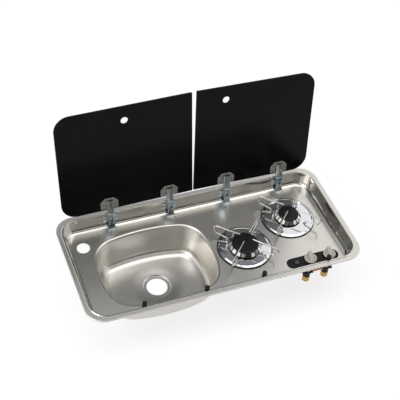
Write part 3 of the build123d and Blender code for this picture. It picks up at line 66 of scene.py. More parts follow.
# %% Camera
AZIMUTH = -26.05
ELEVATION = 47.76
ROLL = 6.91
EYE = Vector((-760.8, -1472.6, 1874.5)) * MM
FOCAL_PIXELS = 944.53
PRINCIPAL_POINT = (196.91, 225.03)
FRAME_PIXELS = 400.0


def added(name, data):
    """A new object in the scene."""
    made = bpy.data.objects.new(name, data)
    bpy.context.scene.collection.objects.link(made)
    return made


def make_camera():
    """A camera at the fitted place. Its shift puts the fitted principal point on the sensor."""
    data = bpy.data.cameras.new("camera")
    data.sensor_width = 36.0
    data.lens = FOCAL_PIXELS / FRAME_PIXELS * data.sensor_width
    data.shift_x = (FRAME_PIXELS / 2 - PRINCIPAL_POINT[0]) / FRAME_PIXELS
    data.shift_y = (PRINCIPAL_POINT[1] - FRAME_PIXELS / 2) / FRAME_PIXELS
    data.clip_start = 0.05
    data.clip_end = 50.0
    camera = added("camera", data)
    a, e, r = (math.radians(angle) for angle in (AZIMUTH, ELEVATION, ROLL))
    back = Vector((math.sin(a) * math.cos(e), -math.cos(a) * math.cos(e), math.sin(e)))
    level = Vector((math.cos(a), math.sin(a), 0))
    steep = back.cross(level)
    right = level * math.cos(r) + steep * math.sin(r)
    up = steep * math.cos(r) - level * math.sin(r)
    turn = Matrix((right, up, back)).transposed().to_4x4()
    camera.matrix_world = Matrix.Translation(EYE) @ turn
    bpy.context.scene.camera = camera
    return camera


camera = make_camera()
print("camera at", [round(v, 3) for v in camera.location], "lens", round(camera.data.lens, 2))

# %% [markdown]
# ## Helpers that make meshes
#
# Sheet steel is a line with a thickness. Each bent edge here starts as a short list of corner points
# with a bend radius at each one, as a press maker would draw it. The helper rounds the corners
# and keeps the surface's direction at each point, so that the other side of the sheet can be set off.

# %% Rounded section
def rounded_section(points, radii, step=0.14):
    """Points of a bent line with its corners rounded, each with the direction to its left."""
    line = [Vector(point) for point in points]
    made = []
    for index, corner in enumerate(line):
        if index in (0, len(line) - 1):
            along = (line[1] - line[0]) if index == 0 else (line[-1] - line[-2])
            along.normalize()
            made.append((corner.copy(), Vector((-along.y, along.x))))
            continue
        before = (corner - line[index - 1]).normalized()
        after = (line[index + 1] - corner).normalized()
        turn = math.atan2(before.x * after.y - before.y * after.x, before.dot(after))
        radius = radii[index - 1]
        if radius <= 0 or abs(turn) < 1e-6:
            made.append((corner.copy(), Vector((-before.y, before.x))))
            made.append((corner.copy(), Vector((-after.y, after.x))))
            continue
        reach = radius * math.tan(abs(turn) / 2)
        side = 1 if turn > 0 else -1
        normal = Vector((-before.y, before.x))
        centre = corner - before * reach + normal * (side * radius)
        count = max(3, round(abs(turn) / step))
        for k in range(count + 1):
            a = turn * k / count
            left = Vector(
                (
                    normal.x * math.cos(a) - normal.y * math.sin(a),
                    normal.x * math.sin(a) + normal.y * math.cos(a),
                )
            )
            made.append((centre - left * (side * radius), left))
    return made


def other_side(section, thickness):
    """The far face of a sheet whose near face is this section."""
    return [point + left * thickness for point, left in section]


print("a right angle rounded:", len(rounded_section(((0, 0), (10, 0), (10, 10)), (3,))), "points")

# %% [markdown]
# Rings of points make a surface when each ring is joined to the next. The two outlines that this unit
# needs are a rectangle with round corners and the bowl's soft oval, and both keep the same number
# of points when they grow or shrink, so rings at different heights can always be joined.

# %% Outlines that grow
def rounded_rectangle(length, width, corner, steps=20, straights=6):
    """A function from growth to the points of a rectangle with round corners, anticlockwise."""

    def ring(grow=0.0):
        cx, cy = length / 2 - corner, width / 2 - corner
        radius = corner + grow
        points = []
        for quarter in range(4):
            sx, sy = ((1, 1), (-1, 1), (-1, -1), (1, -1))[quarter]
            for k in range(steps + 1):
                a = math.radians(90 * quarter + 90 * k / steps)
                points.append((sx * cx + radius * math.cos(a), sy * cy + radius * math.sin(a)))
            nx, ny = ((-1, 1), (-1, -1), (1, -1), (1, 1))[quarter]
            a = math.radians(90 * quarter + 90)
            goal = (nx * cx + radius * math.cos(a), ny * cy + radius * math.sin(a))
            here = points[-1]
            for k in range(1, straights):
                t = k / straights
                points.append((here[0] + (goal[0] - here[0]) * t, here[1] + (goal[1] - here[1]) * t))
        return points

    return ring


def circle(x, y, radius, steps=ROUND_STEPS):
    """Points of a circle, anticlockwise."""
    turns = (2 * math.pi * k / steps for k in range(steps))
    return [(x + radius * math.cos(a), y + radius * math.sin(a)) for a in turns]


print("points in a rounded rectangle:", len(rounded_rectangle(760, 355, 50)()))

# %% Meshes from rings
def ring_faces(first, second, count):
    """Quads between two rings of count points that start at these numbers."""
    return [
        (first + k, first + (k + 1) % count, second + (k + 1) % count, second + k)
        for k in range(count)
    ]


def bands(start, rings, count):
    """Quads between each of these rings and the next, for points numbered from start."""
    faces = []
    for k in range(rings - 1):
        faces += ring_faces(start + k * count, start + (k + 1) * count, count)
    return faces


def filled(loops, start):
    """Triangles of a flat face, for points numbered from start. Its outer loop comes before its holes."""
    flat = [[Vector((x, y, 0)) for x, y in loop] for loop in loops]
    return [tuple(start + i for i in triangle) for triangle in tessellate_polygon(flat)]


def finish_piece(name, verts, faces, material, smooth_angle=35.0):
    """A mesh object in the CAD's frame from millimetre points. Sharp edges stay sharp."""
    mesh = bpy.data.meshes.new(name)
    mesh.from_pydata([Vector(v) * MM for v in verts], [], [list(f) for f in faces])
    tidy = bmesh.new()
    tidy.from_mesh(mesh)
    bmesh.ops.remove_doubles(tidy, verts=tidy.verts, dist=2e-6)
    bmesh.ops.dissolve_degenerate(tidy, dist=1e-6, edges=tidy.edges)
    bmesh.ops.recalc_face_normals(tidy, faces=tidy.faces)
    tidy.to_mesh(mesh)
    tidy.free()
    mesh.shade_smooth()
    mesh.set_sharp_from_angle(angle=math.radians(smooth_angle))
    layer = mesh.uv_layers.new(name="UVMap")
    corners = np.zeros(len(mesh.loops), np.int32)
    mesh.loops.foreach_get("vertex_index", corners)
    places = np.zeros(len(mesh.vertices) * 3, np.float32)
    mesh.vertices.foreach_get("co", places)
    layer.data.foreach_set("uv", places.reshape(-1, 3)[corners][:, :2].ravel())
    mesh.materials.append(material)
    return added(name, mesh)


def joined(parts):
    """The points and faces of several closed parts as one list of each."""
    verts, faces = [], []
    for points, own in parts:
        faces += [tuple(len(verts) + i for i in face) for face in own]
        verts += points
    return verts, faces


def seat(piece, body, slot, *stands_for):
    """Lets a piece ride on a CAD body in place of CAD nodes. The slot is not used."""
    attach(piece, body)
    if stands_for:
        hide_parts(*stands_for)
    print(f"{piece.name}: {len(piece.data.polygons)} faces on {body}")
    return piece


# %% [markdown]
# ## Materials
#
# Real metal is never one flat colour. Brushed steel has fine lines that all run the same way, so a
# highlight spreads across the lines and stays sharp along them. That is what the anisotropic
# setting does. The lines themselves come from noise that is stretched along the unit, and the same noise
# moves the roughness a little, so that the gloss breaks up as it does on a used sheet.

# %% Material helpers
def new_material(name):
    """An empty material with its principled shader, as (material, tree, shader)."""
    material = bpy.data.materials.new(name)
    material.use_nodes = True
    tree = material.node_tree
    shader = next(n for n in tree.nodes if n.type == "BSDF_PRINCIPLED")
    return material, tree, shader


def object_noise(tree, scale, stretch=(1, 1, 1), detail=3.0, roughness=0.5):
    """Noise in the object's own metres, with a stretch for each axis."""
    place = tree.nodes.new("ShaderNodeTexCoord")
    mapping = tree.nodes.new("ShaderNodeMapping")
    mapping.inputs["Scale"].default_value = stretch
    noise = tree.nodes.new("ShaderNodeTexNoise")
    noise.inputs["Scale"].default_value = scale
    noise.inputs["Detail"].default_value = detail
    noise.inputs["Roughness"].default_value = roughness
    tree.links.new(place.outputs["Object"], mapping.inputs["Vector"])
    tree.links.new(mapping.outputs["Vector"], noise.inputs["Vector"])
    return noise.outputs["Fac"]


def spread(tree, fac, low, high):
    """A number between low and high that follows the noise."""
    ramp = tree.nodes.new("ShaderNodeMapRange")
    ramp.inputs["From Min"].default_value = 0.3
    ramp.inputs["From Max"].default_value = 0.7
    ramp.inputs["To Min"].default_value = low
    ramp.inputs["To Max"].default_value = high
    tree.links.new(fac, ramp.inputs["Value"])
    return ramp.outputs["Result"]


def tint(tree, fac, first, second):
    """A colour between two, by the noise."""
    mix = tree.nodes.new("ShaderNodeMix")
    mix.data_type = "RGBA"
    mix.inputs[6].default_value = (*first, 1)
    mix.inputs[7].default_value = (*second, 1)
    tree.links.new(fac, mix.inputs[0])
    return mix.outputs[2]


def bump(tree, shader, height, strength, distance):
    """Small relief on the shader's normal."""
    node = tree.nodes.new("ShaderNodeBump")
    node.inputs["Strength"].default_value = strength
    node.inputs["Distance"].default_value = distance
    tree.links.new(height, node.inputs["Height"])
    tree.links.new(node.outputs["Normal"], shader.inputs["Normal"])


def plain_finish(
    name, colour, metallic, roughness, mottle, grain, relief=0.0, second=None, sockets=None
):
    """A finish with slight unevenness in colour and gloss. Sockets are the shader's other inputs."""
    material, tree, shader = new_material(name)
    fac = object_noise(tree, grain, detail=4.0)
    wide = object_noise(tree, grain / 6, detail=2.0)
    darker = second or tuple(channel * 0.88 for channel in colour)
    tree.links.new(tint(tree, wide, colour, darker), shader.inputs["Base Color"])
    tree.links.new(
        spread(tree, fac, max(0.0, roughness - mottle), min(1.0, roughness + mottle)),
        shader.inputs["Roughness"],
    )
    shader.inputs["Metallic"].default_value = metallic
    for socket, value in (sockets or {}).items():
        shader.inputs[socket].default_value = value
    if relief:
        bump(tree, shader, fac, 0.5, relief)
    return material


# %% Brushed steel
def brushed_steel(name, colour, roughness=0.24, streak=0.012, anisotropic=0.75, across=4000.0):
    """Steel with fine lines along X. Its UV map lies along the sheet, so the gloss follows the lines."""
    material, tree, shader = new_material(name)
    fine = object_noise(tree, across, stretch=(0.02, 1, 1), detail=3.0, roughness=0.6)
    broad = object_noise(tree, 14.0, stretch=(0.3, 1, 1), detail=2.0)
    tree.links.new(
        tint(tree, fine, colour, tuple(c * 0.98 for c in colour)), shader.inputs["Base Color"]
    )
    low = tree.nodes.new("ShaderNodeMath")
    low.operation = "ADD"
    tree.links.new(spread(tree, fine, roughness - streak, roughness + streak), low.inputs[0])
    tree.links.new(spread(tree, broad, -0.006, 0.008), low.inputs[1])
    tree.links.new(low.outputs[0], shader.inputs["Roughness"])
    shader.inputs["Metallic"].default_value = 1.0
    shader.inputs["Anisotropic"].default_value = anisotropic
    shader.inputs["Anisotropic Rotation"].default_value = 0.25
    tangent = tree.nodes.new("ShaderNodeTangent")
    tangent.direction_type = "UV_MAP"
    tangent.uv_map = "UVMap"
    tree.links.new(tangent.outputs["Tangent"], shader.inputs["Tangent"])
    bump(tree, shader, fine, 0.02, 0.00001)
    return material


STEEL = brushed_steel("brushed_stainless", (0.67, 0.65, 0.61))
BOWL_STEEL = brushed_steel("satin_stainless", (0.68, 0.66, 0.62), 0.3, 0.008, 0.1)
BRIGHT_STEEL = plain_finish("bright_stainless", (0.67, 0.65, 0.60), 1.0, 0.12, 0.01, 60.0)
print("brushed steel:", len(STEEL.node_tree.nodes), "nodes")

# %% The other finishes
SPECULAR = "Specular IOR Level"
POLISHED = plain_finish("polished_disc", (0.82, 0.83, 0.85), 1.0, 0.07, 0.01, 40.0)
CROWN = plain_finish("turned_crown", (0.92, 0.92, 0.91), 1.0, 0.12, 0.03, 90.0)
WIRE = plain_finish("chromed_wire", (0.60, 0.58, 0.55), 1.0, 0.10, 0.03, 120.0)
ZINC = plain_finish(
    "zinc_plate", (0.72, 0.79, 0.82), 1.0, 0.15, 0.05, 300.0, second=(0.26, 0.33, 0.37)
)
BLACKENED = plain_finish("blackened_steel", (0.03, 0.03, 0.03), 0.0, 0.42, 0.08, 300.0)
GALVANISED = plain_finish("galvanised_sheet", (0.60, 0.62, 0.64), 1.0, 0.38, 0.10, 160.0)
# painted shade: near black for the crown's core, so the flame ports between the ribs look shaded
PORT_SHADE = plain_finish("painted_port_shade", (0.06, 0.06, 0.06), 1.0, 0.45, 0.08, 300.0)
CAST = plain_finish("cast_aluminium", (0.55, 0.55, 0.55), 1.0, 0.48, 0.08, 700.0, 0.00015)
ENAMEL = plain_finish(
    "black_enamel", (0.010, 0.010, 0.011), 0.0, 0.36, 0.04, 300.0, sockets={SPECULAR: 0.22}
)
GLASS = plain_finish(
    "black_glass", (0.0016, 0.0016, 0.0020), 0.0, 0.22, 0.01, 8.0, sockets={"IOR": 1.45, SPECULAR: 0.12}
)
RUBBER = plain_finish(
    "black_rubber", (0.010, 0.010, 0.010), 0.0, 0.6, 0.06, 500.0, 0.00005, sockets={SPECULAR: 0.25}
)
BRASS = plain_finish(
    "brass", (0.62, 0.40, 0.15), 1.0, 0.15, 0.05, 900.0, second=(0.34, 0.20, 0.07)
)
COPPER = plain_finish("copper", (0.72, 0.36, 0.20), 1.0, 0.22, 0.06, 120.0)
PIPE = plain_finish("aluminium_pipe", (0.76, 0.76, 0.77), 1.0, 0.32, 0.06, 200.0)
VALVE = plain_finish("valve_metal", (0.34, 0.34, 0.35), 1.0, 0.42, 0.08, 400.0, 0.0001)
CERAMIC = plain_finish("ceramic", (0.86, 0.84, 0.80), 0.0, 0.22, 0.06, 90.0)
KNOB = plain_finish("pale_knob", (0.62, 0.59, 0.53), 0.0, 0.24, 0.05, 240.0, 0.00001)
PANEL = plain_finish(
    "black_panel", (0.010, 0.010, 0.011), 0.0, 0.5, 0.06, 500.0, 0.00004, sockets={SPECULAR: 0.2}
)
GREY = plain_finish("grey_plastic", (0.05, 0.05, 0.052), 0.0, 0.25, 0.04, 300.0)
PAD = plain_finish(
    "clear_pad", (0.42, 0.40, 0.37), 0.0, 0.28, 0.08, 200.0, sockets={"Transmission Weight": 0.35}
)
print("materials:", len(bpy.data.materials))

# %% [markdown]
# ## Finishes on the CAD nodes
#
# The record names one material slot for each CAD node, and each node takes the finish of its slot.
# The smooth meshes that stand for nodes take their finishes from the same materials.

# %% Slots
FINISHES = {
    "brushed_stainless": STEEL,
    "polished_stainless": POLISHED,
    "polished_crown": CROWN,
    "black_enamel": ENAMEL,
    "cast_aluminium": CAST,
    "galvanised_steel": GALVANISED,
    "chromed_wire": WIRE,
    "blackened_steel": BLACKENED,
    "zinc_plate": ZINC,
    "clear_pad": PAD,
    "black_glass": GLASS,
    "black_rubber": RUBBER,
    "brass": BRASS,
    "copper": COPPER,
    "aluminium_pipe": PIPE,
    "valve_metal": VALVE,
    "ceramic": CERAMIC,
    "pale_knob": KNOB,
    "black_plastic": PANEL,
    "grey_plastic": GREY,
}
for part in frame["record"]["subparts"]:
    node = nodes[part["node"]]
    node.data.materials.clear()
    node.data.materials.append(FINISHES[part["material_slot"]])

# %% [markdown]
# ## The pressed top
#
# One sheet is drawn into a shallow tray with a rolled bead round its mouth and a flat flange whose edge
# turns down. The section is swept round the outline as rings. The deck is flat, so it is one
# filled face with the holes left out, and the hole edges get short walls.

# %% Sizes of the pressing
SHEET = 0.8
UNIT = (760.0, 355.0)
UNIT_CORNER = 50.0
FLANGE_WIDTH = 16.5
TRAY = (UNIT[0] - 2 * FLANGE_WIDTH, UNIT[1] - 2 * FLANGE_WIDTH)
TRAY_CORNER = 45.0
DECK = -36.5
TAP_HOLE = (-317.0, 96.0, 17.5)
# centre, crown radius and cap radius
BURNERS = {"front": (95.0, -28.0, 43.0, 36.0), "rear": (253.0, 38.0, 36.0, 28.0)}
BURNER_HOLE = 60.0
CONTROL_Y = -117.5
CONTROL_SLOT = (257.0, CONTROL_Y, 152.0, 35.0)
BOWL_SEAM = 3.0
DRAFT = math.radians(8.3)
LIP = rounded_section(((0, 0), (0, 2.5), (-4.0, 2.5)), (1.7,))
WALL_FOOT = 0.4 - (3.8 - DECK) * math.tan(DRAFT)
WALL = rounded_section(
    ((9.0, 2.5), (5.5, 2.5), (3.8, 3.8), (0.4, 3.8), (WALL_FOOT, DECK), (-20.0, DECK)),
    (1.0, 1.0, 1.5, 13.0),
    0.09,
)

# %% The bowl's oval
BOWL = (-146.5, -11.0)
BOWL_ARCS = (((-75.0, 0.0), 237.0), None, ((0.0, -333.0), 460.0))
BOWL_CORNER_RADIUS = 72.0


def bowl_arcs():
    """Centre, radius, first and last angle of the three arcs in the oval's first quarter."""
    (ex, ey), end_radius = BOWL_ARCS[0]
    (lx, ly), long_radius = BOWL_ARCS[2]
    r_end, r_long = end_radius - BOWL_CORNER_RADIUS, long_radius - BOWL_CORNER_RADIUS
    dx, dy = ex - lx, ey - ly
    gap = math.hypot(dx, dy)
    along = (r_long**2 - r_end**2 + gap**2) / (2 * gap)
    across = math.sqrt(r_long**2 - along**2)
    cx = lx + along * dx / gap + across * dy / gap
    cy = ly + along * dy / gap - across * dx / gap
    first = math.atan2(cy - ey, cx - ex)
    second = math.atan2(cy - ly, cx - lx)
    return (
        (ex, ey, end_radius, 0.0, first, 10),
        (cx, cy, BOWL_CORNER_RADIUS, first, second, 22),
        (lx, ly, long_radius, second, math.pi / 2, 14),
    )


def bowl_ring(grow=0.0):
    """Points of the bowl's oval about its centre, anticlockwise."""
    quarter = []
    for cx, cy, radius, first, last, steps in bowl_arcs():
        for k in range(steps):
            a = first + (last - first) * k / steps
            quarter.append((cx + (radius + grow) * math.cos(a), cy + (radius + grow) * math.sin(a)))
    top = (0.0, bowl_arcs()[2][1] + bowl_arcs()[2][2] + grow)
    half = quarter + [top] + [(-x, y) for x, y in reversed(quarter[1:])]
    return half + [(-x, -y) for x, y in half]


def at(points, x, y):
    """The same points about another centre."""
    return [(px + x, py + y) for px, py in points]


print("points in the oval:", len(bowl_ring()))

# %% Pressing
def slot_outline(x, y, length, width, steps=20):
    """A long hole with round ends."""
    r = width / 2
    reach = length / 2 - r
    ends = []
    for side, start in ((1, -90), (-1, 90)):
        for k in range(steps + 1):
            a = math.radians(start + 180 * k / steps)
            ends.append((x + side * reach + r * math.cos(a), y + r * math.sin(a)))
    return ends


def make_pressing():
    """The flange, bead, tray wall and deck as one closed sheet."""
    outer = rounded_rectangle(*UNIT, UNIT_CORNER)
    inner = rounded_rectangle(*TRAY, TRAY_CORNER)
    near = [(outer(p.x), p.y) for p, _ in LIP] + [(inner(p.x), p.y) for p, _ in WALL]
    far = [(outer(p.x), p.y) for p in other_side(LIP, SHEET)]
    far += [(inner(p.x), p.y) for p in other_side(WALL, SHEET)]
    rings = far[::-1] + near
    verts = [(x, y, z) for ring, z in rings for x, y in ring]
    faces = bands(0, len(rings), len(rings[0][0]))
    holes = [
        at(bowl_ring(BOWL_SEAM), *BOWL),
        circle(*TAP_HOLE),
        *[circle(x, y, BURNER_HOLE) for x, y, _, _ in BURNERS.values()],
        slot_outline(*CONTROL_SLOT),
    ]
    for ring, z in (near[-1], far[-1]):
        loops = [ring, *holes]
        faces += filled(loops, len(verts))
        verts += [(x, y, z) for loop in loops for x, y in loop]
    for loop in holes[1:]:
        faces += bands(len(verts), 2, len(loop))
        verts += [(x, y, z) for z in (DECK, DECK - SHEET) for x, y in loop]
    return finish_piece("pressed_top", verts, faces, STEEL)


FACES_UP = 0.92
BEAD_FOOT = 2.6


def polish_the_rim(piece):
    """Gives the bead and the wall a smoother finish than the deck's, and the flat flange a satin one."""
    piece.data.materials.append(BRIGHT_STEEL)
    piece.data.materials.append(BOWL_STEEL)
    rim = [face for face in piece.data.polygons if face.center.z > (DECK + 0.1) * MM]
    for face in rim:
        flat = face.normal.z > FACES_UP and face.center.z < BEAD_FOOT * MM
        face.material_index = 2 if flat else 1
    return len(rim)


pressing = seat(make_pressing(), "unit", "brushed_stainless", "top_pressing")
print("rim faces:", polish_the_rim(pressing))

# %% [markdown]
# ## The bowl
#
# The bowl is drawn deeper and meets the deck in a soft roll. Its floor falls gently to a stepped ring
# with a round hole for the waste fitting. The fall is a smooth curve and not a cone, because a drawn
# sheet has no sharp edge there.

# %% Bowl
BOWL_DEPTH = 94.0
BOWL_FLOOR = DECK - BOWL_DEPTH
BOWL_ROLL = -6.5
BOWL_FOOT = BOWL_ROLL - BOWL_DEPTH * math.tan(math.radians(8.2))
DISH_RADIUS = 74.0
DISH_FALL = 3.0
WASTE = (-143.0, -10.0, 28.5)
WASTE_Z = BOWL_FLOOR - 7.0


def make_bowl():
    """The bowl's wall from the seam to the floor, and the floor down to the waste hole."""
    corners = ((BOWL_SEAM, DECK), (BOWL_ROLL, DECK), (BOWL_FOOT, BOWL_FLOOR), (-48.0, BOWL_FLOOR))
    section = rounded_section(corners, (7.0, 26.0), 0.08)
    floor = [(DISH_RADIUS, BOWL_FLOOR)]
    for t in (k / 12 for k in range(1, 13)):
        fall = DISH_FALL * (t * t * (1.6 - 0.6 * t))
        floor.append((DISH_RADIUS - 32.5 * t, BOWL_FLOOR - fall))
    floor += [(39.0, BOWL_FLOOR - DISH_FALL), (36.5, WASTE_Z), (WASTE[2], WASTE_Z)]
    dish = rounded_section(floor, (0.0,) * 12 + (1.5, 1.5), 0.25)
    verts, faces = [], []
    for thickness in (0.0, SHEET):
        rings = [(at(bowl_ring(p.x), *BOWL), p.y) for p in other_side(section, thickness)]
        faces += bands(len(verts), len(rings), len(rings[0][0]))
        verts += [(x, y, z) for ring, z in rings for x, y in ring]
        loops = [rings[-1][0], circle(*WASTE[:2], DISH_RADIUS)]
        faces += filled(loops, len(verts))
        verts += [(x, y, rings[-1][1]) for loop in loops for x, y in loop]
        steps = other_side(dish, thickness)
        faces += bands(len(verts), len(steps), ROUND_STEPS)
        verts += [(x, y, p.y) for p in steps for x, y in circle(*WASTE[:2], p.x)]
    faces += bands(len(verts), 2, ROUND_STEPS)
    verts += [(x, y, z) for z in (WASTE_Z, WASTE_Z - SHEET) for x, y in circle(*WASTE)]
    return finish_piece("drawn_bowl", verts, faces, BOWL_STEEL)


seat(make_bowl(), "unit", "brushed_stainless", "sink_bowl")

# %% [markdown]
# ## Round pieces
#
# Crowns, caps, gaskets and the feet of the knobs are round about an upright axis, so one lathe helper
# makes them all from a section. The drip discs have holes beside the axis, so they get their own.

# %% Lathe
def turned(name, x, y, section, material, steps=ROUND_STEPS, smooth_angle=35.0):
    """A round piece about an upright axis, from a closed section of (radius, height)."""
    verts, faces = [], []
    places = []
    for radius, z in section:
        if radius < 1e-6:
            places.append((len(verts), 1))
            verts.append((x, y, z))
        else:
            places.append((len(verts), steps))
            verts += [(px, py, z) for px, py in circle(x, y, radius, steps)]
    loop = list(zip(places, places[1:] + places[:1]))
    for (first, n), (second, m) in loop:
        if n == steps and m == steps:
            faces += ring_faces(first, second, steps)
        elif n == steps:
            faces += [(first + k, first + (k + 1) % steps, second) for k in range(steps)]
        elif m == steps:
            faces += [(first, second + (k + 1) % steps, second + k) for k in range(steps)]
    return finish_piece(name, verts, faces, material, smooth_angle)


def softened(points, radii, step=0.3):
    """An open section with rounded corners, as plain points."""
    return [tuple(p) for p, _ in rounded_section(points, radii, step)]


# %% Drip discs and their gaskets
GASKET_TOP = DECK + 2.0
DISC_FOOT = GASKET_TOP + SHEET
DISC_TOP = DISC_FOOT + 2.2
DISC_FLAT = 62.0
DISC_RISE = 0.9
# angle on the disc and radius of the hole
PROBE_ANGLES = {"thermocouple": (108.0, 3.0), "electrode": (164.0, 4.0)}


def around(x, y, radius, angle):
    """A point at this radius and angle from a centre."""
    return x + radius * math.cos(math.radians(angle)), y + radius * math.sin(math.radians(angle))


def make_disc(burner, x, y, crown):
    """A polished disc that rises a little to the middle, with the holes that the wires come through."""
    hole = crown - 10.0
    edge_top = DISC_TOP - DISC_RISE
    corners = ((72.5, DISC_FOOT), (70.0, DISC_FOOT), (66.0, edge_top), (DISC_FLAT, edge_top))
    rim = rounded_section(corners, (1.5, 1.5), 0.2)
    holes = [circle(*around(x, y, 50.0, 45 + 90 * k), 4.0, 32) for k in range(4)]
    for angle, radius in PROBE_ANGLES.values():
        holes.append(circle(*around(x, y, crown + 5.5, angle), radius, 24))
    slope = DISC_RISE / (DISC_FLAT - hole)
    verts, faces = [], []

    def raised(loop, z):
        """The points of a loop on the disc's cone, which is z high at the edge of its flat."""
        return [(px, py, z + slope * (DISC_FLAT - math.hypot(px - x, py - y))) for px, py in loop]

    for section in (other_side(rim, 0.0), other_side(rim, SHEET)):
        faces += bands(len(verts), len(section), ROUND_STEPS)
        verts += [(px, py, p.y) for p in section for px, py in circle(x, y, p.x)]
        loops = [circle(x, y, DISC_FLAT), circle(x, y, hole), *holes]
        faces += filled(loops, len(verts))
        verts += [point for loop in loops for point in raised(loop, section[-1].y)]
    for loop in loops[1:]:
        faces += bands(len(verts), 2, len(loop))
        verts += raised(loop, edge_top) + raised(loop, edge_top - SHEET)
    return finish_piece(f"disc_{burner}", verts, faces, POLISHED, 30.0)


for burner, (x, y, crown, cap) in BURNERS.items():
    edge = softened(((67, DECK), (75, DECK), (75, GASKET_TOP), (67, GASKET_TOP)), (0.0, 0.8))
    gasket = turned(f"gasket_{burner}", x, y, edge, RUBBER)
    seat(gasket, "unit", "black_rubber", f"disc_gasket_{burner}")
    disc = make_disc(burner, x, y, crown)
    seat(disc, "unit", "polished_stainless", f"drip_disc_{burner}")

# %% [markdown]
# ## Copies about an axis
#
# A burner crown has 18 equal ribs with a flame port between each pair, and a pan support has four equal
# wires. One Geometry Nodes tree makes both: it places points on the axis, turns one copy of the
# element at each and realizes the copies. The result is turned into a plain mesh at once.

# %% Tree for copies about an axis
def make_copies_tree():
    """A node group with the element, the count, the first angle, the centre and the finish as inputs."""
    tree = bpy.data.node_groups.new("copies_about_axis", "GeometryNodeTree")
    inputs = (
        ("Element", "Geometry"),
        ("Count", "Int"),
        ("First Angle", "Float"),
        ("Centre", "Vector"),
        ("Finish", "Material"),
    )
    for label, kind in inputs:
        tree.interface.new_socket(label, in_out="INPUT", socket_type=f"NodeSocket{kind}")
    tree.interface.new_socket("Copies", in_out="OUTPUT", socket_type="NodeSocketGeometry")
    given = tree.nodes.new("NodeGroupInput")
    result = tree.nodes.new("NodeGroupOutput")
    points = tree.nodes.new("GeometryNodePoints")
    index = tree.nodes.new("GeometryNodeInputIndex")
    step = tree.nodes.new("ShaderNodeMath")
    step.operation = "DIVIDE"
    step.inputs[0].default_value = 2 * math.pi
    angle = tree.nodes.new("ShaderNodeMath")
    angle.operation = "MULTIPLY_ADD"
    turn = tree.nodes.new("FunctionNodeAxisAngleToRotation")
    turn.inputs["Axis"].default_value = (0, 0, 1)
    place = tree.nodes.new("GeometryNodeInstanceOnPoints")
    realize = tree.nodes.new("GeometryNodeRealizeInstances")
    finish = tree.nodes.new("GeometryNodeSetMaterial")
    link = tree.links.new
    link(given.outputs["Count"], points.inputs["Count"])
    link(given.outputs["Centre"], points.inputs["Position"])
    link(given.outputs["Count"], step.inputs[1])
    link(index.outputs["Index"], angle.inputs[0])
    link(step.outputs[0], angle.inputs[1])
    link(given.outputs["First Angle"], angle.inputs[2])
    link(angle.outputs[0], turn.inputs["Angle"])
    link(points.outputs[0], place.inputs["Points"])
    link(given.outputs["Element"], place.inputs["Instance"])
    link(turn.outputs["Rotation"], place.inputs["Rotation"])
    link(place.outputs["Instances"], realize.inputs["Geometry"])
    link(realize.outputs["Geometry"], finish.inputs["Geometry"])
    link(given.outputs["Finish"], finish.inputs["Material"])
    link(finish.outputs["Geometry"], result.inputs["Copies"])
    return tree


COPIES = make_copies_tree()


def copies_about(name, element, count, first_angle, x, y, material, smooth_angle=35.0):
    """A plain mesh of count copies of the element about the upright axis through x, y."""
    element.data.materials.clear()
    modifier = element.modifiers.new("copies", "NODES")
    modifier.node_group = COPIES
    sockets = {s.name: s.identifier for s in COPIES.interface.items_tree if s.in_out == "INPUT"}
    modifier[sockets["Count"]] = count
    modifier[sockets["First Angle"]] = math.radians(first_angle)
    modifier[sockets["Centre"]] = (x * MM, y * MM, 0.0)
    modifier[sockets["Finish"]] = material
    bpy.context.view_layer.update()
    shown = element.evaluated_get(bpy.context.evaluated_depsgraph_get())
    mesh = bpy.data.meshes.new_from_object(shown)
    mesh.name = name
    made = added(name, mesh)
    bpy.data.objects.remove(element)
    mesh.shade_smooth()
    mesh.set_sharp_from_angle(angle=math.radians(smooth_angle))
    return made


print("inputs:", [s.name for s in COPIES.interface.items_tree if s.in_out == "INPUT"])

# %% [markdown]
# ## Crowns and caps
#
# Light shows the crown as bright ribs with dark ports between them. A rib is a short wedge on the
# cone, a little proud of a core painted near black as painted shade in the ports, so that each port is a
# real groove.

# %% Crowns
NECK_TOP = DISC_TOP + 2.5
CROWN_LOW = NECK_TOP + 0.3
CROWN_HIGH = CROWN_LOW + 10.4
RIBS = 18
RIB_SHARE = 0.37


def make_rib(crown, cap):
    """One rib of the crown, on the axis' +X side, between its two upright sides."""
    half = math.radians(360 / RIBS * RIB_SHARE)
    side = (
        (crown - 6.0, CROWN_LOW + 1.0),
        (crown, CROWN_LOW + 1.2),
        (cap + 1.2, CROWN_HIGH),
        (cap - 5.0, CROWN_HIGH),
    )
    n = len(side)
    verts = [(radius * math.cos(a), radius * math.sin(a), z) for a in (-half, half) for radius, z in side]
    faces = ring_faces(0, n, n) + [tuple(reversed(range(n))), tuple(range(n, 2 * n))]
    return finish_piece("rib", verts, faces, CROWN, 20.0)


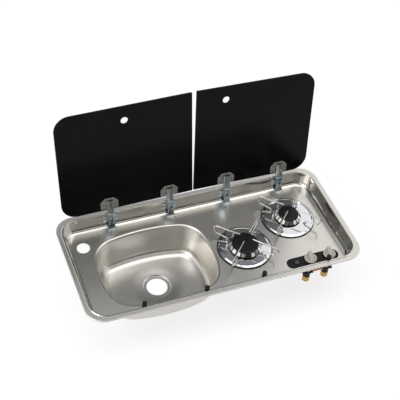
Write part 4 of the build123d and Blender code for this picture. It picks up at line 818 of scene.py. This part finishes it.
for burner, (x, y, crown, cap) in BURNERS.items():
    bore = crown - 17.0
    skirt, core_top = CROWN_LOW + 1.2, CROWN_HIGH - 0.5
    core = (
        (bore - 3.3, CROWN_LOW - 4.3),
        (bore - 0.3, CROWN_LOW - 4.3),
        (bore - 0.3, CROWN_LOW),
        (crown - 0.6, CROWN_LOW),
        (crown, CROWN_LOW + 0.5),
        (crown, skirt),
        (crown - 2.4, skirt),
        (cap - 2.0, core_top),
        (bore - 3.3, core_top),
    )
    # the core is painted near black as painted shade in the ports, not in the cast aluminium of its slot
    base = turned(f"crown_core_{burner}", x, y, core, PORT_SHADE)
    seat(base, f"{burner}_crown", "cast_aluminium")
    ribs = copies_about(f"crown_ribs_{burner}", make_rib(crown, cap), RIBS, 0.0, x, y, CROWN, 20.0)
    seat(ribs, f"{burner}_crown", "polished_crown", f"burner_crown_{burner}")
    low, high = CROWN_HIGH + 0.3, CROWN_HIGH + 5.1
    lid = [(0.0, low - 4.0), (bore - 3.6, low - 4.0), (bore - 3.6, low)]
    lid += softened(((cap - 3.0, low), (cap, low), (cap, high - 1.9), (cap - 3.0, high - 1.0)), (0.5, 1.4))
    lid += [((cap - 3.0) * (1 - t * t), high - (1 - t) ** 2) for t in (k / 8 for k in range(1, 9))]
    top = turned(f"cap_{burner}", x, y, lid, ENAMEL, smooth_angle=50.0)
    seat(top, f"{burner}_cap", "black_enamel", f"burner_cap_{burner}")

# %% [markdown]
# ## Pan supports
#
# Each support is a bent wire that comes up through the disc, runs out and up to a knee, and turns
# back over the burner. A tube follows its centre line, which is drawn in the upright plane.

# %% Tubes
def tube(name, path, radius, material, sides=16):
    """A round wire along a path of 3-D points, with rounded ends."""
    points = [Vector(p) for p in path]
    ways = []
    for k in range(len(points)):
        before = points[k] - points[k - 1] if k else points[1] - points[0]
        after = points[k + 1] - points[k] if k < len(points) - 1 else before
        ways.append((before.normalized() + after.normalized()).normalized())
    side = ways[0].orthogonal().normalized()
    rings = []
    for k, (point, way) in enumerate(zip(points, ways)):
        side = (side - way * side.dot(way)).normalized()
        other = way.cross(side)
        sizes = [(0.0, 1.0)]
        if k == 0:
            sizes = [(-0.55, 0.55), (-0.35, 0.85), (0.0, 1.0)]
        if k == len(points) - 1:
            sizes = [(0.0, 1.0), (0.35, 0.85), (0.55, 0.55)]
        for push, share in sizes:
            centre = point + way * (push * radius)
            rings.append(
                [
                    centre + (side * math.cos(a) + other * math.sin(a)) * (radius * share)
                    for a in (2 * math.pi * j / sides for j in range(sides))
                ]
            )
    verts = [tuple(p) for ring in rings for p in ring]
    faces = bands(0, len(rings), sides)
    last = (len(rings) - 1) * sides
    faces += [tuple(reversed(range(sides))), tuple(range(last, last + sides))]
    return finish_piece(name, verts, faces, material, 50.0)


# %% Pan supports
WIRE_RADIUS = 2.0
ARM_SECTION = softened(
    ((50, -47), (50, -25), (88, -19), (96, 6.5), (19, 8.5)), (5.0, 9.0, 8.0), 0.12
)
for burner, (x, y, crown, cap) in BURNERS.items():
    element = tube("wire", [(r, 0.0, z) for r, z in ARM_SECTION], WIRE_RADIUS, WIRE)
    support = copies_about(f"support_{burner}", element, 4, 45.0, x, y, WIRE, 50.0)
    seat(support, "unit", "chromed_wire", f"pan_support_{burner}")

# %% [markdown]
# ## Glass lids
#
# Tempered glass has ground edges that catch a thin line of light. Each half is a plate with a small
# bevel, and the black is in the glass, so the surface keeps a weak, soft reflection.

# %% Lids
LEAN = math.radians(10.6)
GLASS_EDGE = (167.1, 12.9)
GLASS_T = 5.0
LID_HEIGHT = 308.0
FINGER_HOLE = 9.75
# the outer upper corner is round, the corners at the split are nearly square
ROUND_RIGHT = (42.0, 42.0, 2.0, 2.0)
# centre, width, side of the round corners, skew in degrees and centre of the finger hole
LIDS = {
    "left": (-168.5, 366.6, -1, 0.78, (0.0, 266.0)),
    "right": (188.4, 341.6, 1, -1.04, (-87.0, 268.0)),
}


def on_glass(x, skew, across, up, out):
    """A point on an open lid: across and up its face, and out of its front."""
    k = math.radians(skew)
    a = across * math.cos(k) - up * math.sin(k)
    b = across * math.sin(k) + up * math.cos(k)
    c, s = math.cos(LEAN), math.sin(LEAN)
    return (x + a, GLASS_EDGE[0] + b * s - out * c, GLASS_EDGE[1] + b * c + out * s)


def pane_outline(width, height, radii, steps=20, shrink=0.0):
    """A rectangle that stands on its lower edge, with a corner radius each, anticlockwise."""
    w, h = width / 2 - shrink, height - shrink
    corners = ((w, shrink, -90), (w, h, 0), (-w, h, 90), (-w, shrink, 180))
    points = []
    for (cx, cy, start), radius in zip(corners, radii):
        r = max(radius - shrink, 0.3)
        ox = cx - r if cx > 0 else cx + r
        oy = cy + r if cy == shrink else cy - r
        for k in range(steps + 1):
            a = math.radians(start + 90 * k / steps)
            points.append((ox + r * math.cos(a), oy + r * math.sin(a)))
    return points


def plate(place, outline, holes, thickness, bevel):
    """Points and faces of a flat plate with bevelled edges. Each loop is a function of its shrink."""
    verts, faces = [], []
    levels = ((0.0, bevel), (-bevel, 0.0), (bevel - thickness, 0.0), (-thickness, bevel))
    shapes = [outline, *holes]
    for shape in shapes:
        loops = [[place(a, b, out) for a, b in shape(shrink)] for out, shrink in levels]
        faces += bands(len(verts), len(levels), len(loops[0]))
        verts += [point for loop in loops for point in loop]
    for out, shrink in (levels[0], levels[-1]):
        loops = [shape(shrink) for shape in shapes]
        faces += filled(loops, len(verts))
        verts += [place(a, b, out) for loop in loops for a, b in loop]
    return verts, faces


def polygon_inset(points, shrink):
    """A convex or concave outline, anticlockwise, with every side moved in by shrink."""
    moved = []
    for k, corner in enumerate(points):
        here = Vector(corner)
        before = (here - Vector(points[k - 1])).normalized()
        after = (Vector(points[(k + 1) % len(points)]) - here).normalized()
        inward = Vector((-before.y, before.x)) + Vector((-after.y, after.x))
        half = inward.length_squared / 2
        moved.append(tuple(here + inward * (shrink / max(half, 0.2))))
    return moved


for side, (x, width, rounded, skew, hole) in LIDS.items():
    radii = ROUND_RIGHT[::-1] if rounded < 0 else ROUND_RIGHT
    parts = plate(
        lambda a, b, out: on_glass(x, skew, a, b, out),
        lambda shrink: pane_outline(width, LID_HEIGHT, radii, shrink=shrink),
        [lambda shrink: circle(*hole, FINGER_HOLE + shrink, 48)],
        GLASS_T,
        0.5,
    )
    pane = finish_piece(f"glass_{side}", *parts, GLASS)
    seat(pane, f"lid_{side}", "black_glass", f"lid_{side}")

# %% [markdown]
# ## Hinges
#
# Each hinge has a clear pad on the glass, a channel-shaped arm over it and a bracket that is riveted to
# the tray's wall. The arm's upper end is open, and a black block inside it shows there as a dark slot.
# A channel is a U-shaped section at a few stations along the arm. The cheeks run on to the pivot.

# %% Sizes of a hinge
HINGES = {"left": (-223.0, -54.0), "right": (113.0, 273.5)}
PIVOT_ON_GLASS = (-12.45, 9.98)
PAD_T = 2.5
# width, foot, top, cut at the top and cut at the foot
PAD_OUTLINE = (49.0, 3.0, 37.0, 12.0, 4.0)
ARM_HALF = 9.4
ARM_CHEEK = 2.0
CHEEK_END = 4.8
# up the glass, foot of the cheeks and top of the channel
ARM_STATIONS = ((33.0, 2.5, 10.0), (26.0, 2.5, 10.0), (5.0, 2.5, 12.62), (-3.0, 3.73, 13.62))
BLOCK_OUTLINE = ((-7.3, 4.0), (7.3, 4.0), (7.3, 31.5), (-7.3, 31.5))
BLOCK_FRONT = 8.4
BLOCK_T = 5.8


def cut_corner_plate(width, low, high, top_cut, foot_cut, shrink):
    """An upright plate's outline with its corners cut off, anticlockwise."""
    w = width / 2 - shrink
    lo, hi = low + shrink, high - shrink
    t, f = top_cut - 0.59 * shrink, foot_cut - 0.59 * shrink
    right = [(w - f, lo), (w, lo + f), (w, hi - t), (w - t, hi)]
    return right + [(-a, b) for a, b in reversed(right)]


def channel_section(low, high, sheet=1.5, corner=2.6, steps=5):
    """A U-shaped loop of (across, out) points that opens towards the glass."""
    outside, inside = [], []
    for side in (1, -1):
        turns = range(steps + 1) if side > 0 else range(steps, -1, -1)
        arc = [math.radians(90 * k / steps) for k in turns]
        for loop, half, top, radius in (
            (outside, ARM_HALF, high, corner),
            (inside, ARM_HALF - ARM_CHEEK, high - sheet, corner - sheet),
        ):
            bend = [
                (side * (half - radius + radius * math.cos(a)), top - radius + radius * math.sin(a))
                for a in arc
            ]
            foot = (side * half, low)
            loop += [foot, *bend] if side > 0 else [*bend, foot]
    return outside + inside[::-1]


def channel_arm(x):
    """Points and faces of an arm: the channel and the two cheeks' round ends."""
    loops = [[(a, up, out) for a, out in channel_section(low, high)] for up, low, high in ARM_STATIONS]
    n = len(loops[0])
    verts = [on_glass(x, 0.0, *point) for loop in loops for point in loop]
    faces = bands(0, len(loops), n)
    for k in (0, len(loops) - 1):
        faces += filled([[(a, out) for a, _, out in loops[k]]], k * n)
    up, out = PIVOT_ON_GLASS
    start, low, high = ARM_STATIONS[-1]
    arc = [math.radians(90 + 15 * k) for k in range(1, 12)]
    cheek = [(start, high), (up, out + CHEEK_END)]
    cheek += [(up + CHEEK_END * math.cos(a), out + CHEEK_END * math.sin(a)) for a in arc]
    cheek += [(up, out - CHEEK_END), (start, low)]
    parts = [(verts, faces)]
    for side in (ARM_HALF, ARM_CHEEK - ARM_HALF):
        parts.append(
            plate(
                lambda a, b, depth: on_glass(x, 0.0, side + depth, a, b),
                lambda shrink: polygon_inset(cheek, shrink),
                [],
                ARM_CHEEK,
                0.3,
            )
        )
    return joined(parts)


# %% Pads and arms
number = 0
for side, places in HINGES.items():
    pads = []
    for x in places:
        number += 1
        pads.append(
            plate(
                lambda a, b, out: on_glass(x, 0.0, a, b, out + PAD_T),
                lambda shrink: cut_corner_plate(*PAD_OUTLINE, shrink),
                [],
                PAD_T,
                0.7,
            )
        )
        arm = finish_piece(f"arm_{number}", *channel_arm(x), ZINC, 30.0)
        seat(arm, f"lid_{side}", "zinc_plate", f"hinge_arm_{number}")
        block = plate(
            lambda a, b, out: on_glass(x, 0.0, a, b, out + BLOCK_FRONT),
            lambda shrink: polygon_inset(BLOCK_OUTLINE, shrink),
            [],
            BLOCK_T,
            0.5,
        )
        core = finish_piece(f"arm_core_{number}", *block, PANEL, 30.0)
        seat(core, f"lid_{side}", "black_plastic")
    pad = finish_piece(f"pads_{side}", *joined(pads), PAD, 20.0)
    seat(pad, f"lid_{side}", "clear_pad", f"hinge_pads_{side}")

# %% [markdown]
# ## Knobs
#
# A knob is a round foot with a shark's fin on it. The fin is a loft: its outline shrinks a little as it
# rises, and its top edge falls from a peak at the back in a hollow curve.

# %% Knobs
KNOBS = {"front": 250.0, "rear": 306.0}
KNOB_FOOT = softened(
    ((0.0, -33.5), (16.4, -33.5), (17.0, -29.2), (14.6, -28.8), (9.0, -31.4), (0.0, -31.4)),
    (0.4, 0.9, 1.5, 3.0),
)
FIN_FOOT = -31.6
FIN_PEAK = (12.0, -13.0)
FIN_HALF = 6.0
# share of the fin's height, and how far its outline has moved in there
FIN_LEVELS = ((0.0, 0.0), (0.5, 0.5), (0.8, 1.0), (0.92, 2.0), (0.98, 3.4), (1.0, 4.6))


def fin_top(y):
    """Height of the fin's upper edge along the knob."""
    s = FIN_PEAK[0] - y
    return FIN_PEAK[1] - (0.44 * s + 0.0015 * s * s if s > 0 else 1.6 * -s)


def fin_side(inset, count=24):
    """Points of the fin's right side from front to back: (half width, along)."""
    low, high = -15.5 + 0.8 * inset, 14.0 - 0.6 * inset
    half = FIN_HALF - inset
    points = []
    for k in range(count + 1):
        t = k / count
        y = low + (high - low) * (0.5 - 0.5 * math.cos(math.pi * t))
        bulge = min(1.0, math.sqrt(max(0.0, 1.0 - (2 * t - 1) ** 6)) + 0.12)
        points.append((half * bulge, y))
    return points


def fin(x):
    """Points and faces of the fin on a knob."""
    verts = []
    count = len(fin_side(0.0))
    for level, inset in FIN_LEVELS:
        right = fin_side(inset)
        loop = [(half, y) for half, y in right] + [(-half, y) for half, y in reversed(right)]
        for a, y in loop:
            height = FIN_FOOT + (fin_top(y) - FIN_FOOT) * level
            verts.append((x + a, CONTROL_Y + y, height))
    n = 2 * count
    faces = bands(0, len(FIN_LEVELS), n)
    for start in (0, (len(FIN_LEVELS) - 1) * n):
        for k in range(count - 1):
            faces.append((start + k, start + k + 1, start + n - 2 - k, start + n - 1 - k))
    return verts, faces


for burner, x in KNOBS.items():
    base = turned(f"knob_foot_{burner}", x, CONTROL_Y, KNOB_FOOT, KNOB, 72, 50.0)
    seat(base, f"{burner}_knob", "pale_knob", f"knob_{burner}")
    handle = finish_piece(f"knob_fin_{burner}", *fin(x), KNOB, 50.0)
    seat(handle, f"{burner}_knob", "pale_knob")

# %% [markdown]
# ## Floor, background and light
#
# The object stands on white paper in a white studio, and steel shows what stands round it. Three cards
# give the steel its darker tones: a grey one behind, half way up, a dark one low in front, where a
# photographer would stand, and a lighter one high in front. The hob side looks past the card behind
# at the white studio, so it is the bright side. One lamp stands on the left, one over the bowl and
# one over the hob.

# %% Floor
FLOOR_Z = -139.0


def sees_white(tree):
    """1 for rays from the camera and for rays that metal or glass sends on, else 0."""
    path = tree.nodes.new("ShaderNodeLightPath")
    first = tree.nodes.new("ShaderNodeMath")
    second = tree.nodes.new("ShaderNodeMath")
    for node in (first, second):
        node.operation = "ADD"
        node.use_clamp = True
    tree.links.new(path.outputs["Is Camera Ray"], first.inputs[0])
    tree.links.new(path.outputs["Is Glossy Ray"], first.inputs[1])
    tree.links.new(first.outputs[0], second.inputs[0])
    tree.links.new(path.outputs["Is Transmission Ray"], second.inputs[1])
    return second.outputs[0]


def flat_piece(name, corners, material):
    """A single quad for the studio, from corners in metres."""
    mesh = bpy.data.meshes.new(name)
    mesh.from_pydata(corners, [], [(0, 1, 2, 3)])
    mesh.materials.append(material)
    piece = added(name, mesh)
    return piece


def make_floor(size=6.0, glow=0.74):
    """White paper that keeps a soft shadow."""
    material, tree, shader = new_material("floor_paper")
    white = sees_white(tree)
    mix = tint(tree, white, (0.85, 0.85, 0.85), (0.36, 0.36, 0.37))
    tree.links.new(mix, shader.inputs["Base Color"])
    shader.inputs["Roughness"].default_value = 0.95
    shader.inputs["Specular IOR Level"].default_value = 0.0
    shader.inputs["Emission Color"].default_value = (1, 1, 1, 1)
    strength = tree.nodes.new("ShaderNodeMath")
    strength.operation = "MULTIPLY"
    strength.inputs[1].default_value = glow
    tree.links.new(white, strength.inputs[0])
    tree.links.new(strength.outputs[0], shader.inputs["Emission Strength"])
    z = FLOOR_Z * MM
    corners = [(-size, -size, z), (size, -size, z), (size, size, z), (-size, size, z)]
    return flat_piece("floor", corners, material)


# %% World, cards and lamps
def make_world(ambient=0.72):
    """A white studio. Diffuse light from it is a little weaker than the white that is seen."""
    world = bpy.data.worlds.new("studio")
    bpy.context.scene.world = world
    world.use_nodes = True
    tree = world.node_tree
    level = tree.nodes.new("ShaderNodeMapRange")
    level.inputs["To Min"].default_value = ambient
    level.inputs["To Max"].default_value = 1.0
    tree.links.new(sees_white(tree), level.inputs["Value"])
    tree.links.new(level.outputs["Result"], tree.nodes["Background"].inputs["Strength"])
    tree.nodes["Background"].inputs["Color"].default_value = (1, 1, 1, 1)
    return world


def card(name, corners, colour):
    """A matt card that the steel can show. The camera looks past it."""
    material, _, shader = new_material(name)
    shader.inputs["Base Color"].default_value = (*colour, 1)
    shader.inputs["Roughness"].default_value = 1.0
    shader.inputs["Specular IOR Level"].default_value = 0.0
    piece = flat_piece(name, corners, material)
    piece.visible_camera = False
    piece.visible_shadow = False
    return piece


def between_elevations(left, right, low, high, reach):
    """Corners of a card in front (reach below 0) or behind, between two elevations in degrees."""
    corners = []
    for x, elevation in ((left, low), (right, low), (right, high), (left, high)):
        a = math.radians(elevation)
        corners.append((x, reach * math.cos(a), abs(reach) * math.sin(a)))
    return corners


def softbox(name, place, aim, size, power):
    """A rectangular lamp at place that faces aim."""
    data = bpy.data.lights.new(name, "AREA")
    data.shape = "RECTANGLE"
    data.size, data.size_y = size
    data.energy = power
    lamp = added(name, data)
    lamp.location = place
    lamp.rotation_euler = (Vector(aim) - Vector(place)).to_track_quat("-Z", "Y").to_euler()
    return lamp


make_floor()
make_world()
card("card_behind", between_elevations(-2.2, 1.12, 38.0, 66.0, 2.5), (0.34, 0.36, 0.39))
card("card_front_low", between_elevations(-1.3, 2.2, 0.0, 32.0, -2.6), (0.12, 0.105, 0.09))
card("card_front_high", between_elevations(-1.3, 2.2, 46.0, 66.0, -2.6), (0.25, 0.23, 0.20))
softbox("left_light", (-1.75, -0.35, 1.45), (-0.1, 0, -0.1), (1.0, 0.8), 9.0)
softbox("top_light", (-0.6, 0.5, 2.7), (0, 0, 0), (1.4, 1.4), 9.0)
softbox("hob_light", (0.95, -0.1, 2.4), (0.15, 0, 0), (1.0, 1.4), 8.0)
print("lamps:", len(bpy.data.lights))

# %% Finish
bpy.context.scene.view_settings.view_transform = "Standard"
